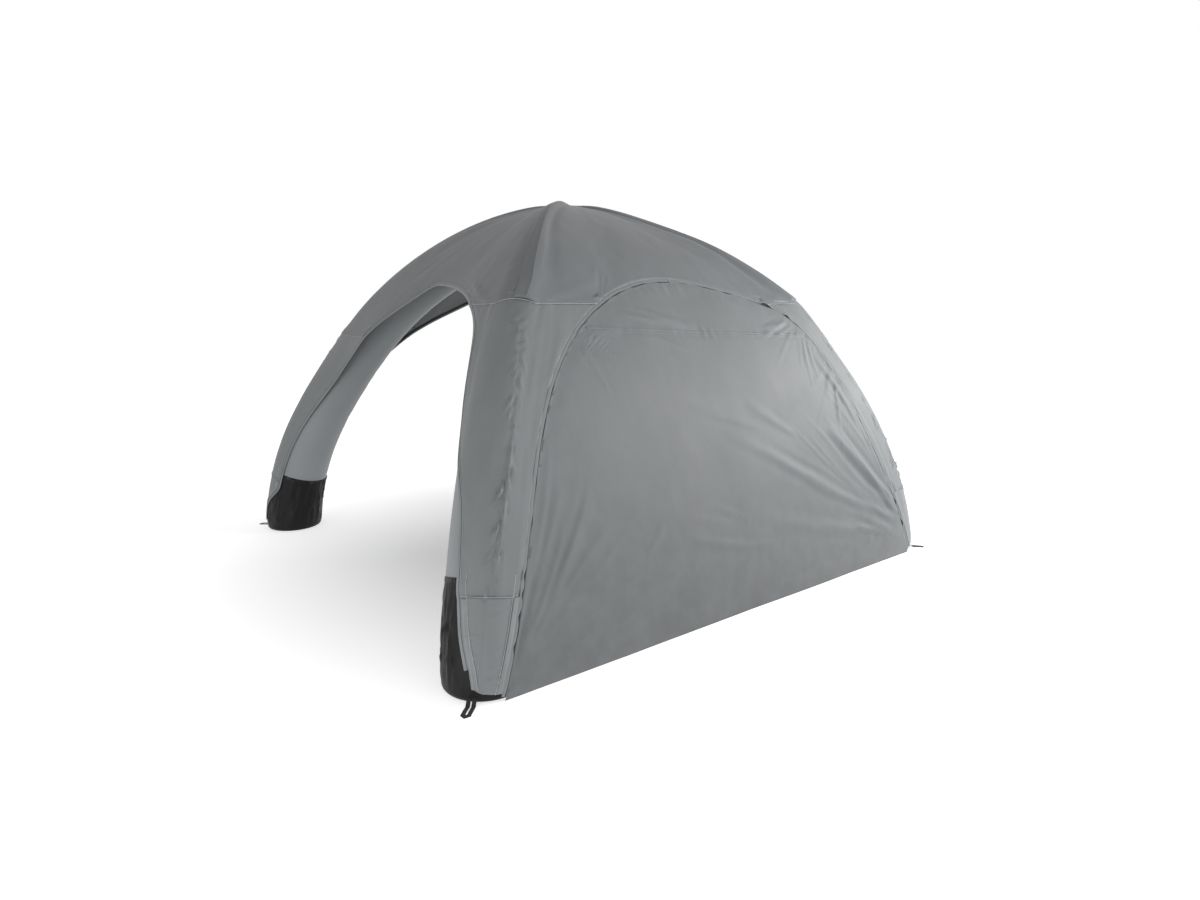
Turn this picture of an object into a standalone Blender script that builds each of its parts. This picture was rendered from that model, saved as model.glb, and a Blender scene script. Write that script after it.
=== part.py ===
"""Inflatable event tent: four curved air tubes meet in a crown joint and carry a fitted fabric skin.

The tent stands on z = 0 with its centre on the Z axis. Its right side (+X) is closed by a fitted wall;
the front (-Y), back (+Y) and left (-X) are open archways. Lengths are in metres.
"""

import math

import bmesh
import bpy
from mathutils import Vector

# Overall size: the outer corners of the feet stand on a square this wide.
SPAN = 4.0

# Centre line of an air tube, in the upright plane through a corner and the middle of the tent.
TUBE_TOP = 2.589
FOOT_RADIUS = 0.224
CROWN_RADIUS = 0.172
REACH_POWER = 1.081
RISE_POWER = 1.223
REACH = SPAN / math.sqrt(2.0) - FOOT_RADIUS

# Places along an air tube, as shares of its length from the ground.
SKIN_FOOT = 0.010
PATCH_ROWS = (SKIN_FOOT, 0.042, 0.083, 0.1255)
BOOT_TOP = 0.120
CROWN_EDGE = 0.885
TUBE_STEP = (CROWN_EDGE - PATCH_ROWS[3]) / 10.0
TUBE_ROWS = list(PATCH_ROWS[1:]) + [PATCH_ROWS[3] + step * TUBE_STEP for step in range(1, 10)]
CROWN_ROWS = (0.925, 0.962)
SEAM_STEP = 0.0001

# Heights of the cross rows of a leg cover, from the patch seam to the roof's hem.
COVER_HEIGHTS = (0.70, 0.93, 1.16, 1.38, 1.59, 1.77, 1.89, 1.97)

# Places along the archway's top edge, as shares of the way from its middle to the hem.
TOP_SHARES = (1.0, 0.67, 0.34, 0.0)

# Places across a ridge, as shares of the way from its top to where the skin leaves the tube.
RIDGE_SHARES = (0.0, 1.0 / 3.0, 2.0 / 3.0, 1.0)
MOST_ON_TUBE = 0.8

# Rows of a roof panel from its hem to its tip, closer together near the tip, and columns of the wall.
ROOF_ROWS = 8
ROOF_ROW_POWER = 0.9
WALL_COLUMNS = 12

# Fabric: the skin hangs outside the tubes and the boots, with hair-thin gaps between its panels.
GAP = 0.0003
TAPE_GAP = 0.0006
BOOT_GAP = 0.0008
RIDGE_GAP = 0.75 * GAP
TIP_GAP = 0.003
BOOT_WALL = 0.006
SKIN_OUT = 0.0098
SKIN_THICKNESS = 0.006
TAPE_WIDTH = 0.024
TAPE_THICKNESS = 0.008

# Half an archway: half its width at the ground, its inward lean, and how square its shoulder is. The wall
# is zipped to one archway, which is drawn rounder towards the front, and pulls the next halves open with it;
# beside the other two legs the skin is slack.
ARCH_TOP = 2.119
ARCH_SHAPES = {
    "zipped": (1.865, 0.423, 13.9, 0.789),
    "drawn": (1.864, 0.376, 5.39, 0.574),
    "pulled": (1.865, 0.423, 13.9, 0.789),
    "slack": (1.733, 0.215, 3.92, 1.027),
}
ARCH_SAG = 0.05
SAG_REACH = 0.35

# The roof ends at this row of a leg cover.
HEM_ROWS = {"zipped": 7, "drawn": 7, "pulled": 7, "slack": 5}

# How far the pulled edges move round the leg, most at one height and less above and below it, and how much
# further they curve back around another height.
PULL = 0.195
PULL_HEIGHT = 0.48
PULL_REACH = 0.95
PULL_TAPER = 0.8
PULL_BEND = 0.08
PULL_BEND_HEIGHT = 0.92
PULL_BEND_REACH = 0.30

# How far the slack edges curl back beside the boot, fully at the first height and not at all at the second.
CURL = 0.10
CURL_LOW = 0.05
CURL_HIGH = 0.52

# Beside an open archway the skin hugs the tube up to the first height and runs free above the second.
HUG_HEIGHT = 1.15
FREE_HEIGHT = 1.75

# Side wall: how the archway ends on its two halves, its lower edge and the seam across it.
WALL_KINDS = {1: "zipped", -1: "drawn"}
WALL_FOOT = 0.003
WALL_SEAM = COVER_HEIGHTS[5]

# Anchor loop of flat webbing on the ground at each foot.
LOOP_LENGTH = 0.130
LOOP_WIDTH = 0.053
LOOP_POINT = 0.024
LOOP_THICKNESS = 0.004
LOOP_SLOT = 0.012
LOOP_SLOT_START = 0.030
LOOP_SLOT_MARGIN = 0.014
LOOP_SLOT_TIP = 0.004

# Inflation valve on the inner face of one tube; its profile is in shares of its radius and height.
VALVE_ROW = 5
VALVE_GAP = 0.0007
VALVE_RADIUS = 0.032
VALVE_HEIGHT = 0.014
VALVE_PROFILE = ((0.0, 0.0), (1.0, 0.0), (1.0, 0.3), (0.72, 0.36), (0.68, 0.9), (0.6, 1.0), (0.0, 1.0))
VALVE_SIDES = 20

# How finely curves are traced, and the share of a tube's length over which its direction is taken.
TUBE_SIDES = 16
FINE_STEPS = 1500
CURVE_STEPS = 400
DIRECTION_STEP = 0.004

CORNERS = {
    "front_right": (1, -1),
    "back_right": (1, 1),
    "back_left": (-1, 1),
    "front_left": (-1, -1),
}
SIDES = {"right": 0, "back": 1, "left": 2, "front": 3}

TUBE_GREY = (0.30, 0.31, 0.33, 1.0)
SKIN_GREY = (0.36, 0.38, 0.40, 1.0)
TAPE_GREY = (0.46, 0.48, 0.50, 1.0)
BOOT_BLACK = (0.02, 0.02, 0.02, 1.0)
VALVE_BLACK = (0.03, 0.03, 0.03, 1.0)


def clear_scene():
    for item in list(bpy.data.objects):
        bpy.data.objects.remove(item, do_unlink=True)


def make_collection(name):
    collection = bpy.data.collections.new(name)
    bpy.context.scene.collection.children.link(collection)
    return collection


def make_material(name, colour, roughness):
    material = bpy.data.materials.new(name)
    material.use_nodes = True
    shader = material.node_tree.nodes["Principled BSDF"]
    shader.inputs["Base Color"].default_value = colour
    shader.inputs["Roughness"].default_value = roughness
    return material


def blend(a, b, share):
    return a + (b - a) * share


def smooth_step(low, high, value):
    share = min(max((value - low) / (high - low), 0.0), 1.0)
    return share * share * (3.0 - 2.0 * share)


def look_up(value, keys, values):
    """The value read from rising keys, in straight steps between them."""
    if value <= keys[0]:
        return values[0]
    if value >= keys[-1]:
        return values[-1]
    low, high = 0, len(keys) - 1
    while high - low > 1:
        middle = (low + high) // 2
        if keys[middle] <= value:
            low = middle
        else:
            high = middle
    return blend(values[low], values[high], (value - keys[low]) / (keys[high] - keys[low]))


def trace_leg():
    """Share of length, distance from the Z axis and height of points along a tube's centre line."""
    reach, rise, length = [], [], [0.0]
    for step in range(FINE_STEPS + 1):
        angle = 0.5 * math.pi * step / FINE_STEPS
        reach.append(REACH * max(math.cos(angle), 0.0) ** REACH_POWER)
        rise.append(TUBE_TOP * math.sin(angle) ** RISE_POWER)
    for step in range(FINE_STEPS):
        piece = math.hypot(reach[step + 1] - reach[step], rise[step + 1] - rise[step])
        length.append(length[-1] + piece)
    return [part / length[-1] for part in length], reach, rise


LEG_SHARE, LEG_REACH, LEG_RISE = trace_leg()


def leg_at(station):
    """Reach, height, direction and radius of a tube at a share of its length."""
    reach = look_up(station, LEG_SHARE, LEG_REACH)
    rise = look_up(station, LEG_SHARE, LEG_RISE)
    before, after = max(station - DIRECTION_STEP, 0.0), min(station + DIRECTION_STEP, 1.0)
    run = look_up(after, LEG_SHARE, LEG_REACH) - look_up(before, LEG_SHARE, LEG_REACH)
    climb = look_up(after, LEG_SHARE, LEG_RISE) - look_up(before, LEG_SHARE, LEG_RISE)
    size = math.hypot(run, climb)
    return reach, rise, run / size, climb / size, blend(FOOT_RADIUS, CROWN_RADIUS, station)


def tube_point(station, angle, out):
    """Point beside a tube as (distance from the middle, offset along the side, height)."""
    reach, rise, run, climb, radius = leg_at(station)
    from_axis = reach + (radius + out) * math.cos(angle) * climb
    across = (radius + out) * math.sin(angle)
    height = rise - (radius + out) * math.cos(angle) * run
    return (from_axis + across) / math.sqrt(2.0), (from_axis - across) / math.sqrt(2.0), height


def leave_angle(station):
    """Angle round a tube at which the skin leaves it and runs straight to the next leg."""
    return math.atan(leg_at(station)[3])


def trace_skin():
    """Height, station, depth and half width of the flat part of a side, from the ground up."""
    rows = []
    for step in range(CURVE_STEPS + 1):
        station = step / CURVE_STEPS
        depth, half, height = tube_point(station, leave_angle(station), SKIN_OUT)
        if not rows or height > rows[-1][0]:
            rows.append((height, station, depth, half))
    return [list(column) for column in zip(*rows)]


SKIN_HEIGHT, SKIN_STATION, SKIN_DEPTH, SKIN_HALF = trace_skin()
COVER_ROWS = [look_up(height, SKIN_HEIGHT, SKIN_STATION) for height in COVER_HEIGHTS]


def drawn_back(kind, height):
    """How far round the leg the edge of an open archway is drawn back at a height."""
    if kind == "slack":
        return CURL * (1.0 - smooth_step(CURL_LOW, CURL_HIGH, height))
    if kind != "pulled":
        return 0.0
    bend = PULL_BEND * math.exp(-(((height - PULL_BEND_HEIGHT) / PULL_BEND_REACH) ** 2))
    if height > PULL_HEIGHT:
        return bend + PULL * max(1.0 - (height - PULL_HEIGHT) / PULL_REACH, 0.0)
    return bend + PULL * (1.0 - PULL_TAPER * (PULL_HEIGHT - height))


def trace_arch(kind, offset):
    """Half widths and heights of an archway's edge, moved outwards by an offset, from the ground up."""
    half_width, lean, shoulder, rounding = ARCH_SHAPES[kind]
    widths, heights = [], []
    for step in range(CURVE_STEPS + 1):
        share = math.sin(0.5 * math.pi * step / CURVE_STEPS)
        widths.append(half_width * (1.0 - lean * share) * max(1.0 - share**shoulder, 0.0) ** rounding)
        heights.append(ARCH_TOP * share)
    moved = []
    for step, (width, height) in enumerate(zip(widths, heights)):
        before, after = max(step - 1, 0), min(step + 1, CURVE_STEPS)
        run = widths[after] - widths[before]
        climb = heights[after] - heights[before]
        size = math.hypot(run, climb)
        width += offset * climb / size + drawn_back(kind, height)
        moved.append((width, height - offset * run / size))
    moved[-1] = (0.0, ARCH_TOP + offset)
    return moved


ARCH_EDGE = {kind: trace_arch(kind, 0.0) for kind in ARCH_SHAPES}
ARCH_TAPE = {kind: trace_arch(kind, TAPE_WIDTH) for kind in ARCH_SHAPES}
ARCH_SKIN = {kind: trace_arch(kind, TAPE_WIDTH + TAPE_GAP) for kind in ARCH_SHAPES}
ARCH_WALL = {kind: trace_arch(kind, -TAPE_GAP) for kind in WALL_KINDS.values()}


def arch_half_width(curve, height):
    return look_up(height, [point[1] for point in curve], [point[0] for point in curve])


def arch_height(curve, width):
    falling = curve[::-1]
    return look_up(abs(width), [point[0] for point in falling], [point[1] for point in falling])


def sag_at(kind, width, height):
    """How far the fabric over an open archway is drawn inwards."""
    edge_half = arch_half_width(ARCH_SKIN[kind], COVER_HEIGHTS[HEM_ROWS[kind]])
    if abs(width) >= edge_half:
        return 0.0
    above = max(height - arch_height(ARCH_EDGE[kind], width), 0.0)
    return ARCH_SAG * (1.0 - (width / edge_half) ** 2) * max(1.0 - above / SAG_REACH, 0.0) ** 2


def skin_point(kind, station, distance):
    """Point of the skin at a station, a distance round from the ridge over the leg."""
    angle = leave_angle(station)
    radius = leg_at(station)[4] + SKIN_OUT
    if distance <= radius * angle:
        return tube_point(station, distance / radius, SKIN_OUT)
    depth, half, height = tube_point(station, angle, SKIN_OUT)
    width = half - (distance - radius * angle)
    flat = (depth, width, height)
    if kind in WALL_KINDS.values():
        return flat
    hugging = tube_point(station, distance / radius, SKIN_OUT)
    hug = 1.0 - smooth_step(HUG_HEIGHT, FREE_HEIGHT, height)
    depth, width, height = (blend(a, b, hug) for a, b in zip(flat, hugging))
    return depth - sag_at(kind, width, height), width, height


def skin_at_width(kind, station, width):
    """Point of the skin at a station, given its offset along the side."""
    angle = leave_angle(station)
    radius = leg_at(station)[4] + SKIN_OUT
    half = tube_point(station, angle, SKIN_OUT)[1]
    point = skin_point(kind, station, radius * angle + half - abs(width))
    return point if width >= 0.0 else (point[0], -point[1], point[2])


def on_side(side, point):
    """World position of a (depth, offset, height) point of one side of the tent."""
    turn = 0.5 * math.pi * SIDES[side]
    depth, offset, height = point
    x = depth * math.cos(turn) - offset * math.sin(turn)
    y = depth * math.sin(turn) + offset * math.cos(turn)
    return x, y, height


def on_leg(corner, faces_x, point):
    """World position of a point beside one leg, on the side that faces along X or along Y."""
    sign_x, sign_y = CORNERS[corner]
    depth, offset, height = point
    if faces_x:
        return sign_x * depth, sign_y * offset, height
    return sign_x * offset, sign_y * depth, height


def leg_kind(corner, faces_x):
    """How the skin ends on the side of a leg that faces along X or along Y."""
    if CORNERS[corner][0] < 0:
        return "slack"
    return WALL_KINDS[CORNERS[corner][1]] if faces_x else "pulled"


def half_kinds(side):
    """How the skin ends on the two halves of a side, first the half with rising offsets."""
    if side == "right":
        return WALL_KINDS[1], WALL_KINDS[-1]
    if side == "left":
        return "slack", "slack"
    return ("slack", "pulled") if side == "back" else ("pulled", "slack")


def add_object(name, data, material, smooth=True):
    item = bpy.data.objects.new(name, data)
    TENT.objects.link(item)
    data.materials.append(material)
    if smooth and hasattr(data, "polygons"):
        for polygon in data.polygons:
            polygon.use_smooth = True
    return item


def applied(item):
    """Bakes an object's modifiers, or a curve's bevel, into a plain mesh under the same name."""
    name = item.name
    graph = bpy.context.evaluated_depsgraph_get()
    mesh = bpy.data.meshes.new_from_object(item.evaluated_get(graph))
    material = item.data.materials[0]
    bpy.data.objects.remove(item, do_unlink=True)
    mesh.name = name
    mesh.materials.clear()
    return add_object(name, mesh, material)


def fabric_panel(name, rows, thickness, material):
    """Closed panel from rows of world points on its inner face, thickened away from the tent's middle."""
    work = bmesh.new()
    across, along = len(rows[0]) - 1, len(rows) - 1
    bmesh.ops.create_grid(work, x_segments=across, y_segments=along, size=1.0)
    for vertex in work.verts:
        column = round((vertex.co.x + 1.0) * 0.5 * across)
        row = round((vertex.co.y + 1.0) * 0.5 * along)
        vertex.co = rows[row][column]
    bmesh.ops.remove_doubles(work, verts=work.verts, dist=0.00005)
    work.normal_update()
    facing = sum(face.normal.dot(face.calc_center_median()) for face in work.faces)
    if facing < 0.0:
        bmesh.ops.reverse_faces(work, faces=work.faces)
    mesh = bpy.data.meshes.new(name)
    work.to_mesh(mesh)
    work.free()
    item = add_object(name, mesh, material)
    solidify = item.modifiers.new("Thickness", "SOLIDIFY")
    solidify.thickness = thickness
    solidify.offset = 1.0
    return applied(item)


def wrapped_tube(name, rings, material):
    """Tube from a grid rolled up on rings of world points, with flat ends."""
    work = bmesh.new()
    bmesh.ops.create_grid(work, x_segments=TUBE_SIDES, y_segments=len(rings) - 1, size=1.0)
    for vertex in work.verts:
        column = round((vertex.co.x + 1.0) * 0.5 * TUBE_SIDES)
        row = round((vertex.co.y + 1.0) * 0.5 * (len(rings) - 1))
        vertex.co = rings[row][column % TUBE_SIDES]
    bmesh.ops.remove_doubles(work, verts=work.verts, dist=0.00001)
    bmesh.ops.holes_fill(work, edges=[edge for edge in work.edges if edge.is_boundary], sides=0)
    bmesh.ops.recalc_face_normals(work, faces=work.faces)
    mesh = bpy.data.meshes.new(name)
    work.to_mesh(mesh)
    work.free()
    return add_object(name, mesh, material)


def cut(item, cutter, operation="DIFFERENCE"):
    CUTTERS.objects.link(cutter)
    TENT.objects.unlink(cutter)
    cutter.hide_render = True
    cutter.display_type = "WIRE"
    modifier = item.modifiers.new("Boolean", "BOOLEAN")
    modifier.operation = operation
    modifier.solver = "EXACT"
    modifier.object = cutter
    return applied(item)


def ring(corner, station, out, slide=0.0):
    """World points round a tube, square to its line, slid along the line towards the crown."""
    _, _, run, climb, _ = leg_at(station)
    points = []
    for step in range(TUBE_SIDES):
        depth, offset, height = tube_point(station, 2.0 * math.pi * step / TUBE_SIDES, out)
        level = slide * run / math.sqrt(2.0)
        points.append(on_leg(corner, True, (depth + level, offset + level, height + slide * climb)))
    return points


def level_ring(corner, height, out):
    """Ring at the foot of a tube, flattened to one height."""
    return [(x, y, height) for x, y, _ in ring(corner, 0.0, out)]


def make_leg_tube(corner):
    rings = [level_ring(corner, BOOT_WALL + GAP, 0.0)]
    rings += [ring(corner, station, 0.0) for station in TUBE_ROWS]
    rings.append(ring(corner, CROWN_EDGE, 0.0, -0.5 * GAP))
    return wrapped_tube("leg_tube_" + corner, rings, TUBE_FABRIC)


def make_crown_joint():
    halves = []
    for first, last in (("front_right", "back_left"), ("back_right", "front_left")):
        rings = [ring(first, CROWN_EDGE, 0.0, 0.5 * GAP)]
        rings += [ring(first, station, 0.0) for station in CROWN_ROWS]
        rings.append(ring(first, 1.0, 0.0))
        far = [ring(last, CROWN_EDGE, 0.0, 0.5 * GAP)] + [ring(last, station, 0.0) for station in CROWN_ROWS]
        far = [[points[-step] for step in range(TUBE_SIDES)] for points in far]
        rings += far[::-1]
        halves.append(wrapped_tube("crown_joint", rings, TUBE_FABRIC))
    joint = cut(halves[0], halves[1], "UNION")
    joint.name = "crown_joint"
    return joint


def make_foot_boot(corner):
    outside = BOOT_GAP + BOOT_WALL
    outer = [level_ring(corner, 0.0, outside)]
    outer += [ring(corner, station, outside) for station in TUBE_ROWS[:2] + [BOOT_TOP]]
    inner = [level_ring(corner, BOOT_WALL, BOOT_GAP)]
    inner += [ring(corner, station, BOOT_GAP) for station in TUBE_ROWS[:3]]
    boot = wrapped_tube("foot_boot_" + corner, outer, BOOT_FABRIC)
    return cut(boot, wrapped_tube("boot_hollow_" + corner, inner, BOOT_FABRIC))


def leg_row(corner, station):
    """World points of the skin round one leg, from its Y-facing edge over the ridge to its X-facing edge."""
    angle = leave_angle(station)
    _, half, height = tube_point(station, angle, SKIN_OUT)
    row = []
    for faces_x in (False, True):
        kind = leg_kind(corner, faces_x)
        on_tube = (leg_at(station)[4] + SKIN_OUT) * angle
        reach = on_tube + half - arch_half_width(ARCH_SKIN[kind], height)
        on_tube = min(on_tube, MOST_ON_TUBE * reach)
        distances = [share * on_tube for share in RIDGE_SHARES]
        distances += [blend(on_tube, reach, 0.5), reach]
        half_row = [on_leg(corner, faces_x, skin_point(kind, station, distance)) for distance in distances]
        row += half_row[1:] if faces_x else half_row[::-1]
    return row


def make_leg_patch(corner):
    rows = [leg_row(corner, station) for station in PATCH_ROWS]
    return fabric_panel("leg_patch_" + corner, rows, SKIN_THICKNESS, SKIN_FABRIC)


def make_leg_cover(corner):
    hem_row = HEM_ROWS[leg_kind(corner, True)]
    stations = [PATCH_ROWS[3] + SEAM_STEP] + COVER_ROWS[: hem_row + 1]
    rows = [leg_row(corner, station) for station in stations]
    return fabric_panel("leg_cover_" + corner, rows, SKIN_THICKNESS, SKIN_FABRIC)


def top_node(kind, curves, share):
    """Offset along the side and height of a node of an archway's top edge."""
    width = share * arch_half_width(ARCH_SKIN[kind], COVER_HEIGHTS[HEM_ROWS[kind]])
    return width, arch_height(curves[kind], width)


def roof_columns(kind):
    """Start station, place and share across of half a roof panel's columns, from the ridge to the middle."""
    hem = COVER_ROWS[HEM_ROWS[kind]] + SEAM_STEP
    hem_half = look_up(hem, SKIN_STATION, SKIN_HALF)
    shoulder = top_node(kind, ARCH_SKIN, 1.0)[0] / hem_half
    columns = [(hem, "tube", share) for share in RIDGE_SHARES[:-1]]
    columns += [(hem, "flat", share) for share in (1.0, 0.5 * (1.0 + shoulder), shoulder)]
    for share in TOP_SHARES[1:]:
        width, height = top_node(kind, ARCH_SKIN, share)
        station = look_up(height, SKIN_HEIGHT, SKIN_STATION)
        columns.append((station, "flat", width / look_up(station, SKIN_STATION, SKIN_HALF)))
    return columns


def roof_half(kind, sign):
    """Rows of half a roof panel, each from the ridge to the panel's middle."""
    rows = [[] for _ in range(ROOF_ROWS + 1)]
    for start, place, share in roof_columns(kind):
        for step in range(ROOF_ROWS + 1):
            station = blend(start, 1.0, (step / ROOF_ROWS) ** ROOF_ROW_POWER)
            if place == "tube":
                point = tube_point(station, share * leave_angle(station), SKIN_OUT)
            else:
                half = look_up(station, SKIN_STATION, SKIN_HALF)
                point = skin_at_width(kind, station, share * half)
            if step == ROOF_ROWS:
                point = (TIP_GAP, 0.0, TUBE_TOP + CROWN_RADIUS + SKIN_OUT)
            rows[step].append((point[0] + RIDGE_GAP, sign * point[1], point[2]))
    return rows


def make_roof_panel(side):
    first, last = half_kinds(side)
    rows = []
    for near, far in zip(roof_half(first, 1), roof_half(last, -1)):
        rows.append([on_side(side, point) for point in near + far[-2::-1]])
    return fabric_panel("roof_panel_" + side, rows, SKIN_THICKNESS, SKIN_FABRIC)


def arch_points(kind, curves, sign):
    """Points of the skin along one half of an archway's edge, from a foot up to the middle of the top."""
    points = []
    for station in list(PATCH_ROWS) + COVER_ROWS[: HEM_ROWS[kind] + 1]:
        height = tube_point(station, leave_angle(station), SKIN_OUT)[2]
        points.append(skin_at_width(kind, station, arch_half_width(curves[kind], height)))
    for share in TOP_SHARES[1:]:
        width, height = top_node(kind, curves, share)
        points.append(skin_at_width(kind, look_up(height, SKIN_HEIGHT, SKIN_STATION), width))
    return [(depth, sign * offset, level) for depth, offset, level in points]


def make_arch_binding(side):
    first, last = half_kinds(side)
    rows = []
    for curves in (ARCH_EDGE, ARCH_TAPE):
        near = arch_points(first, curves, 1)
        far = arch_points(last, curves, -1)
        rows.append([on_side(side, point) for point in far + near[-2::-1]])
    return fabric_panel("arch_binding_" + side, rows, TAPE_THICKNESS, TAPE_FABRIC)


def make_wall_zip(end, sign):
    rows = []
    for curves in (ARCH_EDGE, ARCH_TAPE):
        points = arch_points(WALL_KINDS[sign], curves, sign)
        depth, _, level = points[-1]
        points[-1] = (depth, 0.5 * sign * GAP, level)
        rows.append([on_side("right", point) for point in points])
    return fabric_panel("wall_zip_" + end, rows, TAPE_THICKNESS, TAPE_FABRIC)


def wall_kind(share):
    """How the archway ends on the half of the wall that holds a share of its width."""
    return WALL_KINDS[1 if share >= 0.0 else -1]


def wall_row(height, columns):
    """World points across the wall at one height."""
    station = look_up(height, SKIN_HEIGHT, SKIN_STATION)
    row = []
    for share in columns:
        kind = wall_kind(share)
        width = share * arch_half_width(ARCH_WALL[kind], height)
        row.append(on_side("right", skin_at_width(kind, station, width)))
    return row


def make_side_wall_lower():
    stations = list(PATCH_ROWS) + COVER_ROWS[:5]
    heights = [WALL_FOOT]
    heights += [tube_point(station, leave_angle(station), SKIN_OUT)[2] for station in stations]
    heights.append(WALL_SEAM - 0.5 * GAP)
    columns = [2.0 * step / WALL_COLUMNS - 1.0 for step in range(WALL_COLUMNS + 1)]
    rows = [wall_row(height, columns) for height in heights]
    return fabric_panel("side_wall_lower", rows, SKIN_THICKNESS, SKIN_FABRIC)


def make_side_wall_upper():
    columns = [-share for share in TOP_SHARES] + list(TOP_SHARES[-2::-1])
    rows = [wall_row(height, columns) for height in (WALL_SEAM + 0.5 * GAP,) + COVER_HEIGHTS[6:]]
    edge = []
    for column in columns[1:-1]:
        width, height = top_node(wall_kind(column), ARCH_WALL, column)
        station = look_up(height, SKIN_HEIGHT, SKIN_STATION)
        edge.append(on_side("right", skin_at_width(wall_kind(column), station, width)))
    rows.append([rows[-1][0]] + edge + [rows[-1][-1]])
    return fabric_panel("side_wall_upper", rows, SKIN_THICKNESS, SKIN_FABRIC)


def make_anchor_loop(corner):
    """Flat webbing loop with a pointed end and a slot, lying outwards from the foot."""
    half, slot = 0.5 * LOOP_WIDTH, 0.5 * LOOP_SLOT
    shoulder = LOOP_LENGTH - LOOP_POINT
    outline = [(0.0, -half), (shoulder, -half), (LOOP_LENGTH, 0.0), (shoulder, half), (0.0, half)]
    end, tip = shoulder - LOOP_SLOT_MARGIN, shoulder - LOOP_SLOT_TIP
    opening = [(LOOP_SLOT_START, -slot), (end, -slot), (tip, 0.0), (end, slot), (LOOP_SLOT_START, slot)]
    data = bpy.data.curves.new("anchor_loop_" + corner, "CURVE")
    data.dimensions = "2D"
    data.fill_mode = "BOTH"
    data.extrude = 0.5 * LOOP_THICKNESS
    for shape in (outline, opening):
        spline = data.splines.new("POLY")
        spline.points.add(len(shape) - 1)
        spline.use_cyclic_u = True
        for knot, (x, y) in zip(spline.points, shape):
            knot.co = (x, y, 0.0, 1.0)
    item = applied(add_object("anchor_loop_" + corner, data, WEBBING, smooth=False))
    sign_x, sign_y = CORNERS[corner]
    start = REACH + FOOT_RADIUS + BOOT_GAP + BOOT_WALL + GAP
    item.location = (sign_x * start / math.sqrt(2.0), sign_y * start / math.sqrt(2.0), 0.5 * LOOP_THICKNESS)
    item.rotation_euler = (0.0, 0.0, math.atan2(sign_y, sign_x))
    return item


def make_inflation_valve(corner):
    """Capped valve on the face of a tube that looks towards the middle of the tent."""
    below, above = ring(corner, TUBE_ROWS[VALVE_ROW], 0.0), ring(corner, TUBE_ROWS[VALVE_ROW + 1], 0.0)
    first, last = TUBE_SIDES // 2, TUBE_SIDES // 2 + 1
    corners = [Vector(point) for point in (below[first], below[last], above[last], above[first])]
    seat = sum(corners, Vector()) / 4.0
    inwards = (corners[2] - corners[0]).cross(corners[3] - corners[1]).normalized()
    if inwards.dot(Vector((seat.x, seat.y, 0.0))) > 0.0:
        inwards.negate()
    mesh = bpy.data.meshes.new("inflation_valve")
    points = [(share * VALVE_RADIUS, 0.0, level * VALVE_HEIGHT) for share, level in VALVE_PROFILE]
    mesh.from_pydata(points, [(step, step + 1) for step in range(len(points) - 1)], [])
    item = add_object("inflation_valve", mesh, VALVE_PLASTIC, smooth=False)
    screw = item.modifiers.new("Turn", "SCREW")
    screw.axis = "Z"
    screw.steps = VALVE_SIDES
    screw.render_steps = VALVE_SIDES
    screw.use_merge_vertices = True
    screw.merge_threshold = 0.00005
    screw.use_normal_calculate = True
    item = applied(item)
    item.rotation_mode = "QUATERNION"
    item.rotation_quaternion = inwards.to_track_quat("Z", "Y")
    item.location = seat + VALVE_GAP * inwards
    return item


clear_scene()
TENT = make_collection("inflatable_event_tent")
CUTTERS = make_collection("cutters")
CUTTERS.hide_render = True

TUBE_FABRIC = make_material("tube_fabric", TUBE_GREY, 0.55)
SKIN_FABRIC = make_material("skin_fabric", SKIN_GREY, 0.70)
TAPE_FABRIC = make_material("tape_fabric", TAPE_GREY, 0.65)
BOOT_FABRIC = make_material("boot_fabric", BOOT_BLACK, 0.60)
WEBBING = make_material("webbing", BOOT_BLACK, 0.80)
VALVE_PLASTIC = make_material("valve_plastic", VALVE_BLACK, 0.40)

make_crown_joint()
for corner_name in CORNERS:
    make_leg_tube(corner_name)
    make_foot_boot(corner_name)
    make_leg_patch(corner_name)
    make_leg_cover(corner_name)
    make_anchor_loop(corner_name)
for side_name in SIDES:
    make_roof_panel(side_name)
for side_name in ("front", "back", "left"):
    make_arch_binding(side_name)
make_side_wall_lower()
make_side_wall_upper()
make_wall_zip("front", -1)
make_wall_zip("back", 1)
make_inflation_valve("back_left")
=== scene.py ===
"""Looks of the inflatable event tent: its sewn skin, air tubes, boots, tapes, zips and webbing.

Lengths are in metres. A point beside one side of the tent is (depth, offset, height): how far out it is
from the middle, its place along that side, and its height. Cloth is laid out as grids of such points, with
wrinkles pushed out along the surface, and each grid also carries the flat coordinates that its weave follows.
"""

import functools
import math

import bmesh
import bpy
import numpy as np
from mathutils import Matrix, Vector


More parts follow.
